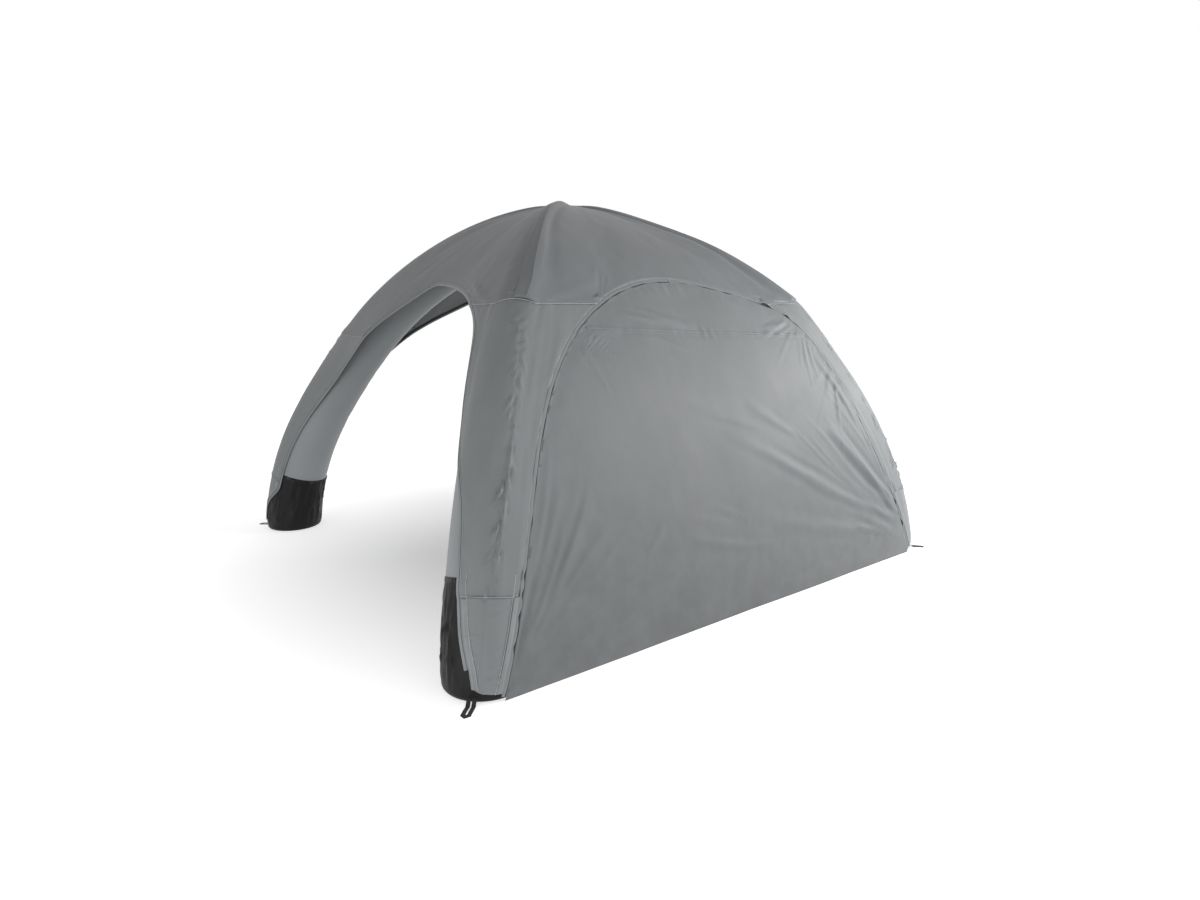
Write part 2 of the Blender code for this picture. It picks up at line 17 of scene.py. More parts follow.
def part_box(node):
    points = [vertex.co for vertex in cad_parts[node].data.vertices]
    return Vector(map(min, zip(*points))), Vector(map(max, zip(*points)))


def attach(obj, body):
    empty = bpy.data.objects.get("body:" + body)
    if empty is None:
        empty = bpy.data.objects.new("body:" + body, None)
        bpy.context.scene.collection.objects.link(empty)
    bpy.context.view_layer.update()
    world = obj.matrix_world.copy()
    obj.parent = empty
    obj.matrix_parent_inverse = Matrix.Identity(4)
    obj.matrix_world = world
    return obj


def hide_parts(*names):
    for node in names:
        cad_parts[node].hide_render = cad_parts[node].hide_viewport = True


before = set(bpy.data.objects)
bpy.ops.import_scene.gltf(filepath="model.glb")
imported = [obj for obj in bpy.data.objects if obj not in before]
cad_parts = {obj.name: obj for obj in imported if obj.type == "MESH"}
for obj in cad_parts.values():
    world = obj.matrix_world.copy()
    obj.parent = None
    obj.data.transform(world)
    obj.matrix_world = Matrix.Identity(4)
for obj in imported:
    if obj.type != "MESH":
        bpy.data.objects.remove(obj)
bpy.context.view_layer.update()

# Driving dimensions, as the solids have them, except that the tops of the patches and boots follow the
# photograph. A station is a share of a tube's length, from its foot to the crown.
SPAN = 4.0
TUBE_TOP = 2.589
FOOT_RADIUS = 0.224
CROWN_RADIUS = 0.172
REACH_POWER = 1.081
RISE_POWER = 1.223
REACH = SPAN / math.sqrt(2.0) - FOOT_RADIUS
PATCH_TOP = 0.114
BOOT_TOP = 0.131
NEAR_BOOT_TOP = 0.137
CROWN_EDGE = 0.885
SKIN_OUT = 0.0098
TAPE_WIDTH = 0.024

# Half an archway, by how its edge is held: zipped to the wall, or drawn in more by it towards the front,
# pulled open by the wall next to it, or slack. Each has its half width at the ground, its inward lean, how
# square its shoulder is and how much that is rounded.
ARCH_TOP = 2.119
ARCH_SHAPES = {
    "zipped": (1.865, 0.423, 13.9, 0.789),
    "drawn": (1.864, 0.376, 5.39, 0.574),
    "pulled": (1.865, 0.423, 13.9, 0.789),
    "slack": (1.733, 0.215, 3.92, 1.027),
}
WALL_KINDS = {1: "zipped", -1: "drawn"}
HEM_HEIGHTS = {"zipped": 1.97, "drawn": 1.97, "pulled": 1.97, "slack": 1.77}

# The middle of an archway's top is flattened to this level over this half width. The cloth above it sags.
TOP_ROUNDING = 0.09
TOP_LEVEL = 2.108
ARCH_SAG = 0.05
SAG_REACH = 0.35

# How far round the leg a pulled edge is drawn: most at one height and less above and below it, further back
# round another height, and a little more at the foot and less just above it, as in the photograph. A slack
# edge only curls back near the ground.
PULL = 0.195
PULL_HEIGHT = 0.48
PULL_REACH = 0.95
PULL_TAPER = 0.8
PULL_BEND = 0.08
PULL_BEND_HEIGHT = 0.92
PULL_BEND_REACH = 0.30
PULL_FOOT, PULL_FOOT_LOW, PULL_FOOT_HIGH = 0.030, 0.12, 0.38
PULL_LAG, PULL_LAG_HEIGHT, PULL_LAG_REACH = 0.018, 0.50, 0.09
CURL = 0.15
CURL_LOW = 0.18
CURL_HIGH = 0.46

# Beside an open archway the skin hugs the tube up to the first height and runs free above the second.
HUG_HEIGHTS = {"pulled": (1.15, 1.75), "slack": (0.85, 1.95)}

WALL_FOOT = 0.003
LOOP_LENGTH = 0.130
LOOP_POINT = 0.024

# Cloth: how thick it is drawn, and how far its inner face lies outside the skin line.
CLOTH = 0.0012
SKIN_LIFT = 0.0035
HEM_LIFT = 0.0085

# Sizes of the mesh cells.
WALL_ROWS, WALL_COLUMNS = 140, 232
ROOF_ROWS = 82
COVER_ROWS, COVER_COLUMNS = 130, 28
PATCH_ROWS, PATCH_COLUMNS = 44, 31
TUBE_ROWS, TUBE_COLUMNS = 140, 48
BOOT_COLUMNS = 110
CROWN_ROWS, CROWN_COLUMNS = 14, 48

# Sewn trim: half the width of the two seam tapes, the station where the ridge's tape ends, and how far the
# edges of a patch's tape lie inside the archway's tape.
RIDGE_TAPE_HALF = 0.006
RIDGE_TAPE_END = 0.972
WALL_SEAM_HALF = 0.007
PATCH_TAPE = (0.034, 0.002)

# Radii of the round cords: the hem's piping, a patch's piping and its seam, and the coil along an archway.
HEM_CORD, PATCH_CORD, PATCH_SEAM_CORD, ARCH_COIL = 0.0024, 0.0019, 0.0021, 0.0014

# Point inside the tent that its cloth faces away from.
TENT_MIDDLE = np.array([0.0, 0.0, 0.6])

CORNERS = {"front_right": (1, -1), "back_right": (1, 1), "back_left": (-1, 1), "front_left": (-1, -1)}
SIDES = {"right": 0, "back": 1, "left": 2, "front": 3}
OPEN_SIDES = ("front", "back", "left")


def mix(a, b, share):
    return a + (b - a) * share


def ramp(low, high, value):
    share = np.clip((value - low) / (high - low), 0.0, 1.0)
    return share * share * (3.0 - 2.0 * share)


def hump(value, centre, width):
    return np.exp(-(((value - centre) / width) ** 2))


def noise(seed, u, v=0.0):
    """Smooth random field from -1 to 1, with one knot a unit."""
    table = np.random.default_rng(seed).uniform(-1.0, 1.0, (64, 64))
    u, v = np.broadcast_arrays(np.asarray(u, float), np.asarray(v, float))
    column, row = np.floor(u).astype(int), np.floor(v).astype(int)
    s, t = u - column, v - row
    s, t = s**3 * (s * (6.0 * s - 15.0) + 10.0), t**3 * (t * (6.0 * t - 15.0) + 10.0)
    corners = [[table[(column + i) % 64, (row + j) % 64] for i in (0, 1)] for j in (0, 1)]
    return mix(mix(*corners[0], s), mix(*corners[1], s), t)


def crease(seed, u, v=0.0, sharp=3.0):
    """Random thin ridges, from 0 between them to 1 along them."""
    return (1.0 - np.abs(noise(seed, u, v))) ** sharp


def fold(u, v, start, end, width, height, bow=0.0):
    """One long soft fold with shallow troughs beside it, tapering to both ends and widest at its end."""
    run, rise = end[0] - start[0], end[1] - start[1]
    length = math.hypot(run, rise)
    along = ((u - start[0]) * run + (v - start[1]) * rise) / length**2
    aside = ((v - start[1]) * run - (u - start[0]) * rise) / length
    aside = aside - 4.0 * bow * length * along * (1.0 - along)
    taper = np.clip(4.0 * along * (1.0 - along), 0.0, 1.0) ** 0.7
    reach = width * (0.5 + 0.5 * np.clip(along, 0.0, 1.0))
    return height * taper * (hump(aside / reach, 0.0, 1.0) - 0.3 * hump(np.abs(aside) / reach, 2.0, 0.9))


def fan(seed, u, v, corner, angles, nearest, furthest, count, width, height):
    """Folds that spread from a corner, at angles in degrees."""
    random = np.random.default_rng(seed)
    total = 0.0
    for _ in range(count):
        turn = math.radians(random.uniform(*angles))
        near, far = random.uniform(*nearest), random.uniform(*furthest)
        start = (corner[0] + near * math.cos(turn), corner[1] + near * math.sin(turn))
        end = (corner[0] + far * math.cos(turn), corner[1] + far * math.sin(turn))
        wide, tall = width * random.uniform(0.6, 1.5), height * random.uniform(0.4, 1.2)
        total = total + fold(u, v, start, end, wide, tall, random.uniform(-0.05, 0.05))
    return total


def unit(vectors):
    return vectors / np.linalg.norm(vectors, axis=-1, keepdims=True)


def path_length(points):
    """Distance along a line of points from its first one."""
    return np.concatenate([[0.0], np.cumsum(np.linalg.norm(np.diff(points, axis=0), axis=1))])


def facing_out(normals, points):
    """The same normals, each turned to face away from the middle of the tent."""
    return normals * np.sign((normals * (points - TENT_MIDDLE)).sum(axis=-1, keepdims=True))


def trace_leg():
    """Share of length, distance from the Z axis and height of points along a tube's centre line."""
    angle = np.linspace(0.0, 0.5 * math.pi, 1501)
    reach = REACH * np.clip(np.cos(angle), 0.0, None) ** REACH_POWER
    rise = TUBE_TOP * np.sin(angle) ** RISE_POWER
    length = np.concatenate([[0.0], np.cumsum(np.hypot(np.diff(reach), np.diff(rise)))])
    return length / length[-1], reach, rise, length[-1]


LEG_SHARE, LEG_REACH, LEG_RISE, LEG_LENGTH = trace_leg()


def leg_at(station):
    """Reach, height, direction and radius of a tube at a share of its length."""
    before, after = np.clip(station - 0.004, 0.0, 1.0), np.clip(station + 0.004, 0.0, 1.0)
    run = np.interp(after, LEG_SHARE, LEG_REACH) - np.interp(before, LEG_SHARE, LEG_REACH)
    climb = np.interp(after, LEG_SHARE, LEG_RISE) - np.interp(before, LEG_SHARE, LEG_RISE)
    size = np.hypot(run, climb)
    reach, rise = np.interp(station, LEG_SHARE, LEG_REACH), np.interp(station, LEG_SHARE, LEG_RISE)
    return reach, rise, run / size, climb / size, mix(FOOT_RADIUS, CROWN_RADIUS, station)


def points_of(depth, offset, height):
    return np.stack(np.broadcast_arrays(depth, offset, height), axis=-1)


def tube_point(station, angle, out):
    """Point beside a tube, on the side whose middle lies at a positive angle."""
    reach, rise, run, climb, radius = leg_at(np.asarray(station, float))
    away = reach + (radius + out) * np.cos(angle) * climb
    across = (radius + out) * np.sin(angle)
    height = rise - (radius + out) * np.cos(angle) * run
    return points_of((away + across) / math.sqrt(2.0), (away - across) / math.sqrt(2.0), height)


def leave_angle(station):
    """Angle round a tube at which the skin leaves it and runs straight to the next leg."""
    return np.arctan(leg_at(np.asarray(station, float))[3])


def trace_skin():
    """Height, station and half width of the flat part of a side, from the ground up."""
    station = np.linspace(0.0, 1.0, 401)
    _, half, height = tube_point(station, leave_angle(station), SKIN_OUT).T
    rising = height > np.concatenate([[-1.0], np.maximum.accumulate(height)[:-1]])
    return height[rising], station[rising], half[rising]


SKIN_HEIGHT, SKIN_STATION, SKIN_HALF = trace_skin()


def station_at(height):
    return np.interp(height, SKIN_HEIGHT, SKIN_STATION)


def skin_half(station):
    return np.interp(station, SKIN_STATION, SKIN_HALF)


def skin_radius(station):
    return leg_at(station)[4] + SKIN_OUT


HEMS = {kind: float(station_at(height)) for kind, height in HEM_HEIGHTS.items()}


def drawn_back(kind, height):
    """How far round the leg the edge of an open archway is drawn back at a height."""
    if kind == "slack":
        return CURL * (1.0 - ramp(CURL_LOW, CURL_HIGH, height))
    if kind == "pulled":
        above = np.clip(1.0 - (height - PULL_HEIGHT) / PULL_REACH, 0.0, 1.0)
        bend = PULL_BEND * hump(height, PULL_BEND_HEIGHT, PULL_BEND_REACH)
        bend = bend + PULL_FOOT * (1.0 - ramp(PULL_FOOT_LOW, PULL_FOOT_HIGH, height))
        bend = bend - PULL_LAG * hump(height, PULL_LAG_HEIGHT, PULL_LAG_REACH)
        return bend + PULL * np.minimum(above, 1.0 - PULL_TAPER * (PULL_HEIGHT - height))
    return 0.0 * height


@functools.lru_cache(None)
def trace_arch(kind, offset):
    """Half widths and heights of an archway's edge, moved outwards by an offset, from the ground up."""
    half_width, lean, shoulder, rounding = ARCH_SHAPES[kind]
    share = np.sin(np.linspace(0.0, 0.5 * math.pi, 801))
    width = half_width * (1.0 - lean * share) * np.clip(1.0 - share**shoulder, 0.0, None) ** rounding
    height = ARCH_TOP * share
    kept = width > TOP_ROUNDING
    top = float(np.interp(TOP_ROUNDING, width[::-1], height[::-1]))
    width = np.append(np.sqrt(width[kept] ** 2 - TOP_ROUNDING**2), 0.0)
    height = np.append(height[kept], top) + (TOP_LEVEL - top) * hump(width, 0.0, 0.25)
    top = TOP_LEVEL
    run, climb = np.gradient(width), np.gradient(height)
    size = np.hypot(run, climb)
    moved = width + offset * climb / size + drawn_back(kind, height)
    height = height - offset * run / size
    moved[-1], height[-1] = 0.0, top + offset
    return np.maximum(moved, 0.0), np.maximum.accumulate(height)


def arch_half_width(kind, offset, height):
    widths, heights = trace_arch(kind, offset)
    return np.interp(height, heights, widths)


def arch_height(kind, offset, width):
    widths, heights = trace_arch(kind, offset)
    return np.interp(np.abs(width), widths[::-1], heights[::-1])


SHOULDER_HALF = {kind: float(arch_half_width(kind, TAPE_WIDTH, HEM_HEIGHTS[kind])) for kind in ARCH_SHAPES}


def sag_at(kind, width, height):
    """How far the fabric over an open archway is drawn inwards."""
    above = np.maximum(height - arch_height(kind, 0.0, width), 0.0)
    across = np.clip(1.0 - (width / SHOULDER_HALF[kind]) ** 2, 0.0, 1.0)
    return ARCH_SAG * across * np.maximum(1.0 - above / SAG_REACH, 0.0) ** 2


def skin_point(kind, station, distance):
    """Point of the skin at a station, a distance round from the ridge over the leg."""
    station, distance = np.broadcast_arrays(np.asarray(station, float), np.asarray(distance, float))
    radius = skin_radius(station)
    leave = leave_angle(station)
    edge = tube_point(station, leave, SKIN_OUT)
    round_tube = tube_point(station, distance / radius, SKIN_OUT)
    free = np.maximum(distance - radius * leave, 0.0)
    flat = points_of(edge[..., 0], edge[..., 1] - free, edge[..., 2])
    if kind in HUG_HEIGHTS:
        hug = 1.0 - ramp(*HUG_HEIGHTS[kind], edge[..., 2])
        flat = mix(flat, round_tube, hug[..., None])
        flat[..., 0] -= sag_at(kind, flat[..., 1], flat[..., 2])
    return np.where((free > 0.0)[..., None], flat, round_tube)


def skin_at_width(kind, station, width):
    """Point of the skin at a station, given its offset along the side."""
    station, width = np.broadcast_arrays(np.asarray(station, float), np.asarray(width, float))
    leave = leave_angle(station)
    radius = skin_radius(station)
    half = tube_point(station, leave, SKIN_OUT)[..., 1]
    point = skin_point(kind, station, radius * leave + half - np.abs(width))
    point[..., 1] *= np.where(width < 0.0, -1.0, 1.0)
    return point


def on_side(side, points):
    turn = 0.5 * math.pi * SIDES[side]
    cosine, sine = math.cos(turn), math.sin(turn)
    depth, offset, height = np.moveaxis(points, -1, 0)
    return points_of(depth * cosine - offset * sine, depth * sine + offset * cosine, height)


def on_leg(corner, faces_x, points):
    sign_x, sign_y = CORNERS[corner]
    depth, offset, height = np.moveaxis(points, -1, 0)
    if faces_x:
        return points_of(sign_x * depth, sign_y * offset, height)
    return points_of(sign_x * offset, sign_y * depth, height)


def leg_kind(corner, faces_x):
    """How the skin is held on the side of a leg that faces along X or along Y."""
    if CORNERS[corner][0] < 0:
        return "slack"
    return WALL_KINDS[CORNERS[corner][1]] if faces_x else "pulled"


def hem_of(corner):
    """Station and height of the roof's hem over a leg."""
    kind = leg_kind(corner, True)
    return HEMS[kind], HEM_HEIGHTS[kind]


def half_kinds(side):
    """How the skin is held on the two halves of a side, first the half with rising offsets."""
    return {"right": (WALL_KINDS[1], WALL_KINDS[-1]), "left": ("slack", "slack"),
            "back": ("slack", "pulled"), "front": ("pulled", "slack")}[side]


def grid_normals(points, closed=False):
    """Unit normals of a grid of points; they face away from the middle of the tent, or of each ring."""
    if closed:
        wrapped = np.concatenate([points[:, -1:], points, points[:, :1]], axis=1)
        across = np.gradient(wrapped, axis=1)[:, 1:-1]
    else:
        across = np.gradient(points, axis=1)
    normal = np.cross(across, np.gradient(points, axis=0))
    size = np.linalg.norm(normal, axis=-1, keepdims=True)
    normal = normal / np.maximum(size, 1e-12)
    middle = points.mean(axis=1, keepdims=True) if closed else TENT_MIDDLE
    if ((points - middle) * normal).sum() < 0.0:
        normal = -normal
    return normal


def grid_faces(rows, columns, closed=False):
    index = np.arange(rows * columns).reshape(rows, columns)
    if closed:
        index = np.concatenate([index, index[:, :1]], axis=1)
    quads = (index[:-1, :-1], index[:-1, 1:], index[1:, 1:], index[1:, :-1])
    return np.stack(quads, axis=-1).reshape(-1, 4)


# How the inflated frame settles: a place, how far round it the cloth moves with it, and its move there.
SETTLES = (
    ((0.55, 0.55, 2.70), 0.52, (0.0, 0.0, -0.046)),
    ((1.27, 1.27, 2.00), 0.38, (0.024, 0.024, 0.020)),
    ((-1.50, -1.50, 1.50), 0.60, (0.024, 0.024, -0.012)),
)


def settled(points):
    """World points moved a little with the uneven settling of the inflated frame."""
    points = np.asarray(points, float).reshape(-1, 3)
    moved = points.copy()
    for centre, reach, move in SETTLES:
        near = hump(np.linalg.norm(points - np.array(centre), axis=1), 0.0, reach)
        moved += near[:, None] * np.array(move)
    return moved


def add_object(name, data):
    item = bpy.data.objects.new(name, data)
    bpy.context.scene.collection.objects.link(item)
    return item


def keep_flat(mesh, flat):
    coordinates = np.zeros((len(mesh.vertices), 3), np.float32)
    coordinates[:, :2] = np.asarray(flat).reshape(-1, 2)
    mesh.attributes.new("cloth", "FLOAT_VECTOR", "POINT").data.foreach_set("vector", coordinates.ravel())


def add_piece(name, points, faces, material, flat=None, rounded=True):
    """Mesh object with its faces pointing out, and its flat coordinates kept as an attribute."""
    mesh = bpy.data.meshes.new(name)
    mesh.from_pydata(settled(points).tolist(), [], [list(map(int, face)) for face in faces])
    if flat is not None:
        keep_flat(mesh, flat)
    work = bmesh.new()
    work.from_mesh(mesh)
    bmesh.ops.remove_doubles(work, verts=work.verts, dist=0.00002)
    work.to_mesh(mesh)
    work.free()
    if rounded:
        mesh.shade_smooth()
    mesh.materials.append(material)
    return add_object(name, mesh)


def dress(item, slot, *nodes):
    """Ties a piece to the frame: its body, and the solids that it stands for, which it hides. The finish it
    is given is not used.
    """
    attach(item, "root")
    if nodes:
        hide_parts(*nodes)
    return item


def add_cloth(name, points, push, material, flat, closed=False):
    """Thin closed sheet from a grid of points, pushed out along its normals."""
    normal = grid_normals(points, closed)
    moved = points + normal * np.broadcast_to(push, points.shape[:2])[..., None]
    faces = grid_faces(*points.shape[:2], closed)
    corner = moved.reshape(-1, 3)[faces]
    facing = np.cross(corner[:, 2] - corner[:, 0], corner[:, 3] - corner[:, 1])
    if (facing * normal.reshape(-1, 3)[faces[:, 0]]).sum() < 0.0:
        faces = faces[:, ::-1]
    item = add_piece(name, moved, faces, material, flat)
    thicken = item.modifiers.new("Thickness", "SOLIDIFY")
    thicken.thickness = CLOTH
    thicken.offset = 1.0
    return item


def arc_length(points, axis):
    """Distance along a grid's rows or columns from its first point."""
    steps = np.linalg.norm(np.diff(points, axis=axis), axis=-1)
    start = np.zeros_like(np.take(steps, [0], axis=axis))
    return np.concatenate([start, np.cumsum(steps, axis=axis)], axis=axis)


# Section of a tape: shares of its width and thickness, and the share of its crown that is added there.
TAPE_SECTION = (
    (0.0, 0.5, 0.0), (0.02, 0.9, 0.0), (0.08, 1.0, 0.0), (0.3, 1.0, 0.3), (0.5, 1.0, 0.4), (0.7, 1.0, 0.3),
    (0.92, 1.0, 0.0), (0.98, 0.9, 0.0), (1.0, 0.5, 0.0), (0.98, 0.1, 0.0), (0.92, 0.0, 0.0), (0.5, 0.0, 0.0),
    (0.08, 0.0, 0.0), (0.02, 0.1, 0.0),
)


def lay_ribbon(name, inner, outer, lift, thickness, material, closed=False, crown=0.35):
    """Flat tape with rounded edges between two lines of points, lifted off the cloth below it."""
    side = outer - inner
    width = np.linalg.norm(side, axis=-1, keepdims=True)
    side = side / width
    if closed:
        along = np.roll(inner, -1, axis=0) - np.roll(inner, 1, axis=0)
    else:
        along = np.gradient(inner, axis=0)
    normal = unit(np.cross(along, side))
    if (normal * (inner - TENT_MIDDLE)).sum() < 0.0:
        normal = -normal
    loop = []
    for share, level, swell in TAPE_SECTION:
        level = np.broadcast_to(lift, len(inner))[:, None] + thickness * (level + crown * swell)
        loop.append(inner + side * width * share + normal * level)
    points = np.stack(loop, axis=1)
    rows, columns = points.shape[:2]
    if closed:
        points = np.concatenate([points, points[:1]], axis=0)
        rows += 1
    faces = list(grid_faces(rows, columns, True))
    if not closed:
        faces.append(np.arange(columns))
        faces.append(np.arange(columns)[::-1] + (rows - 1) * columns)
    length = path_length(points[:, 0])
    across = np.concatenate([np.linspace(0.0, 1.0, 9), np.linspace(0.9, 0.1, 5)])
    flat = points_of(across[None, :] * width.mean(), length[:, None], 0.0)[..., :2]
    item = add_piece(name, points, faces, material, flat)
    turn_outwards(item)
    return item


def turn_outwards(item):
    work = bmesh.new()
    work.from_mesh(item.data)
    bmesh.ops.recalc_face_normals(work, faces=work.faces)
    work.to_mesh(item.data)
    work.free()


def lay_piping(name, path, radius, material, closed=False):
    """Thin round cord sewn along a line of points."""
    curve = bpy.data.curves.new(name, "CURVE")
    curve.dimensions = "3D"
    curve.bevel_depth = radius
    curve.bevel_resolution = 2
    curve.use_fill_caps = True
    spline = curve.splines.new("POLY")
    spline.points.add(len(path) - 1)
    spline.use_cyclic_u = closed
    spline.points.foreach_set("co", np.concatenate([settled(path), np.ones((len(path), 1))], axis=1).ravel())
    spline.use_smooth = True
    curve.materials.append(material)
    return add_object(name, curve)


def feed(tree, made, links):
    """Gives a shader node's inputs, by name or number, as sockets or as plain values."""
    for key, value in links.items():
        if isinstance(value, bpy.types.NodeSocket):
            tree.links.new(value, made.inputs[key])
        else:
            made.inputs[key].default_value = value


def node(tree, kind, links=None, **settings):
    made = tree.nodes.new("ShaderNode" + kind)
    for key, value in settings.items():
        setattr(made, key, value)
    feed(tree, made, links or {})
    return made


def new_material(name, roughness, sheen=0.0, specular=0.5):
    material = bpy.data.materials.new(name)
    material.use_nodes = True
    tree = material.node_tree
    shader = tree.nodes["Principled BSDF"]
    feed(tree, shader, {"Roughness": roughness, "Specular IOR Level": specular, "Sheen Weight": sheen,
                        "Sheen Roughness": 0.45})
    return material, tree, shader


def remap(tree, value, low, high, from_low=0.0, from_high=1.0):
    links = {"Value": value, "From Min": from_low, "From Max": from_high, "To Min": low, "To Max": high}
    return node(tree, "MapRange", links).outputs["Result"]


def maths(tree, operation, *values):
    return node(tree, "Math", dict(enumerate(values)), operation=operation).outputs[0]


def times(tree, a, b):
    return maths(tree, "MULTIPLY", a, b)


def stretched_noise(tree, vector, scale, detail, stretch=(1.0, 1.0, 1.0), roughness=0.55, distortion=0.0):
    placed = node(tree, "Mapping", {"Vector": vector, "Scale": stretch}).outputs["Vector"]
    links = {"Vector": placed, "Scale": scale, "Detail": detail}
    links.update({"Roughness": roughness, "Distortion": distortion})
    return node(tree, "TexNoise", links).outputs["Fac"]


def bands(tree, vector, period, way):
    """Bands a period apart along X or Y, from 0 to 1."""
    scale = 2.0 * math.pi / (20.0 * period)
    return node(tree, "TexWave", {"Vector": vector, "Scale": scale}, bands_direction=way).outputs["Fac"]


def weave(tree, vector, period):
    """Plain weave, from 0 in the holes to 1 on the threads."""
    return maths(tree, "MAXIMUM", bands(tree, vector, period, "X"), bands(tree, vector, period, "Y"))


def bump(tree, height, distance, strength, under=None):
    links = {"Height": height, "Distance": distance, "Strength": strength}
    if under is not None:
        links["Normal"] = under
    return node(tree, "Bump", links).outputs["Normal"]


def scaled_colour(tree, colour, factor):
    links = {"Vector": colour, "Scale": factor}
    return node(tree, "VectorMath", links, operation="SCALE").outputs["Vector"]


# How far the threads of a weave stand out, and how far apart stitches are.
THREAD_HEIGHT = 0.00012
STITCH_LENGTH = 0.005


def cloth_material(name, colour, roughness, sheen, period=0.0016, blotch=0.05, crinkle=0.0005, along=1.0,
                   dust_and_shade=0.0, dust_and_shade_height=0.28, specular=0.35):
    """Woven cloth: uneven dye, faint handling creases, a weave, and a tone change towards the ground: lighter
    dust with a positive setting, darker painted shade with a negative one.
    """
    material, tree, shader = new_material(name, roughness, sheen, specular)
    flat = node(tree, "Attribute", attribute_name="cloth").outputs["Vector"]
    place = node(tree, "NewGeometry").outputs["Position"]
    clouds = stretched_noise(tree, place, 1.7, 3.0)
    streaks = stretched_noise(tree, flat, 5.0, 4.0, (3.0, along, 1.0))
    threads = weave(tree, flat, period)
    tone = times(tree, remap(tree, clouds, 1.0 - blotch, 1.0 + blotch, 0.3, 0.7),
                 remap(tree, streaks, 1.0 - 0.5 * blotch, 1.0 + 0.5 * blotch, 0.3, 0.7))
    tone = times(tree, tone, remap(tree, threads, 0.92, 1.03))
    # Tone towards the ground: a positive setting lightens the cloth with dust, and a negative one darkens it
    # as painted shade.
    if dust_and_shade:
        height = node(tree, "SeparateXYZ", {0: place}).outputs["Z"]
        dust_and_shade_noise = stretched_noise(tree, place, 9.0, 5.0)
        low = remap(tree, height, dust_and_shade, 0.0, 0.0, dust_and_shade_height)
        tone = times(tree, tone, maths(tree, "ADD", 1.0, times(tree, low, dust_and_shade_noise)))
    creased = stretched_noise(tree, flat, 17.0, 5.0, (1.0, 0.6 * along, 1.0), 0.6, 0.5)
    feed(tree, shader, {
        "Base Color": scaled_colour(tree, colour, tone),
        "Roughness": remap(tree, clouds, roughness - 0.05, roughness + 0.07, 0.3, 0.7),
        "Normal": bump(tree, threads, THREAD_HEIGHT, 0.6, bump(tree, creased, crinkle, 1.0)),
    })
    return material


def tape_material(name, colour, roughness, width, thread, ribs=0.0022):
    """Woven tape with ribs across it and a row of stitches inside each edge."""
    material, tree, shader = new_material(name, roughness, 0.15, 0.35)
    flat = node(tree, "Attribute", attribute_name="cloth").outputs["Vector"]
    place = node(tree, "NewGeometry").outputs["Position"]
    split = node(tree, "SeparateXYZ", {0: flat})
    ribbing = bands(tree, flat, ribs, "Y")
    clouds = stretched_noise(tree, place, 6.0, 4.0)
    tone = times(tree, remap(tree, clouds, 0.9, 1.1, 0.3, 0.7), remap(tree, ribbing, 0.85, 1.05))
    aside = maths(tree, "ABSOLUTE", maths(tree, "SUBTRACT", split.outputs["X"], 0.5 * width))
    row = maths(tree, "COMPARE", aside, 0.33 * width, 0.0011)
    dash = remap(tree, bands(tree, flat, STITCH_LENGTH, "Y"), 0.0, 1.0, 0.25, 0.35)
    stitch = times(tree, row, dash)
    base = scaled_colour(tree, colour, tone)
    coloured = node(tree, "Mix", {"Factor": stitch, 6: base, 7: (*thread, 1.0)}, data_type="RGBA")
    rise = maths(tree, "ADD", stitch, times(tree, ribbing, 0.4))
    feed(tree, shader, {"Base Color": coloured.outputs[2], "Normal": bump(tree, rise, 0.0004, 0.8)})
    return material


def moulded_material(name, colour, roughness):
    """Plastic, and piping too fine to show its weave: a fine grain, lighter along worn edges."""
    material, tree, shader = new_material(name, roughness, 0.0, 0.5)
    place = node(tree, "NewGeometry")
    grain = stretched_noise(tree, place.outputs["Position"], 900.0, 2.0)
    scuffs = stretched_noise(tree, place.outputs["Position"], 60.0, 5.0)
    edge = remap(tree, place.outputs["Pointiness"], 0.0, 1.0, 0.52, 0.62)
    tone = times(tree, remap(tree, scuffs, 0.8, 1.25, 0.3, 0.7), remap(tree, edge, 1.0, 2.2))
    feed(tree, shader, {
        "Base Color": scaled_colour(tree, colour, tone),
        "Roughness": remap(tree, scuffs, roughness - 0.08, roughness + 0.12, 0.3, 0.7),
        "Normal": bump(tree, grain, 0.0001, 0.4),
    })
    return material


SKIN_CLOTH = cloth_material("skin_cloth", (0.146, 0.155, 0.159), 0.62, 0.12, dust_and_shade=0.10)
# The wall's cloth is darker towards the ground, up to 1.3 m: painted shade where less light falls low down,
# not dirt.
WALL_CLOTH = cloth_material("wall_cloth", (0.132, 0.140, 0.145), 0.62, 0.12, dust_and_shade=-0.40, dust_and_shade_height=1.3)
ROOF_CLOTH = cloth_material("roof_cloth", (0.128, 0.136, 0.142), 0.60, 0.12)
TUBE_CLOTH = cloth_material("tube_cloth", (0.192, 0.204, 0.211), 0.50, 0.10, period=0.0013, crinkle=0.0004,
                            along=0.5)
BOOT_CLOTH = cloth_material("boot_cloth", (0.0028, 0.0030, 0.0033), 0.42, 0.02, period=0.0022, blotch=0.2,
                            crinkle=0.0010, along=0.4, dust_and_shade=0.4, specular=0.20)
PIPING_CLOTH = moulded_material("piping_cloth", (0.170, 0.180, 0.185), 0.62)
SKIN_TAPE = tape_material("skin_tape", (0.176, 0.186, 0.191), 0.62, TAPE_WIDTH, (0.24, 0.25, 0.26))
DARK_TAPE = tape_material("dark_tape", (0.013, 0.014, 0.015), 0.72, TAPE_WIDTH, (0.03, 0.03, 0.033))
WEBBING = tape_material("webbing", (0.012, 0.012, 0.013), 0.72, 0.024, (0.035, 0.035, 0.038), ribs=0.003)
ZIP_COIL = moulded_material("zip_coil", (0.030, 0.031, 0.034), 0.45)
VALVE_PLASTIC = moulded_material("valve_plastic", (0.022, 0.022, 0.024), 0.38)
SKIN_SLOT, TUBE_SLOT, TAPE_SLOT, BOOT_SLOT = "skin_fabric", "tube_fabric", "tape_fabric", "boot_fabric"


# The photograph's focal length and width, in its pixels.
FOCAL_PIXELS, PHOTO_WIDTH = 711.5, 1200.0


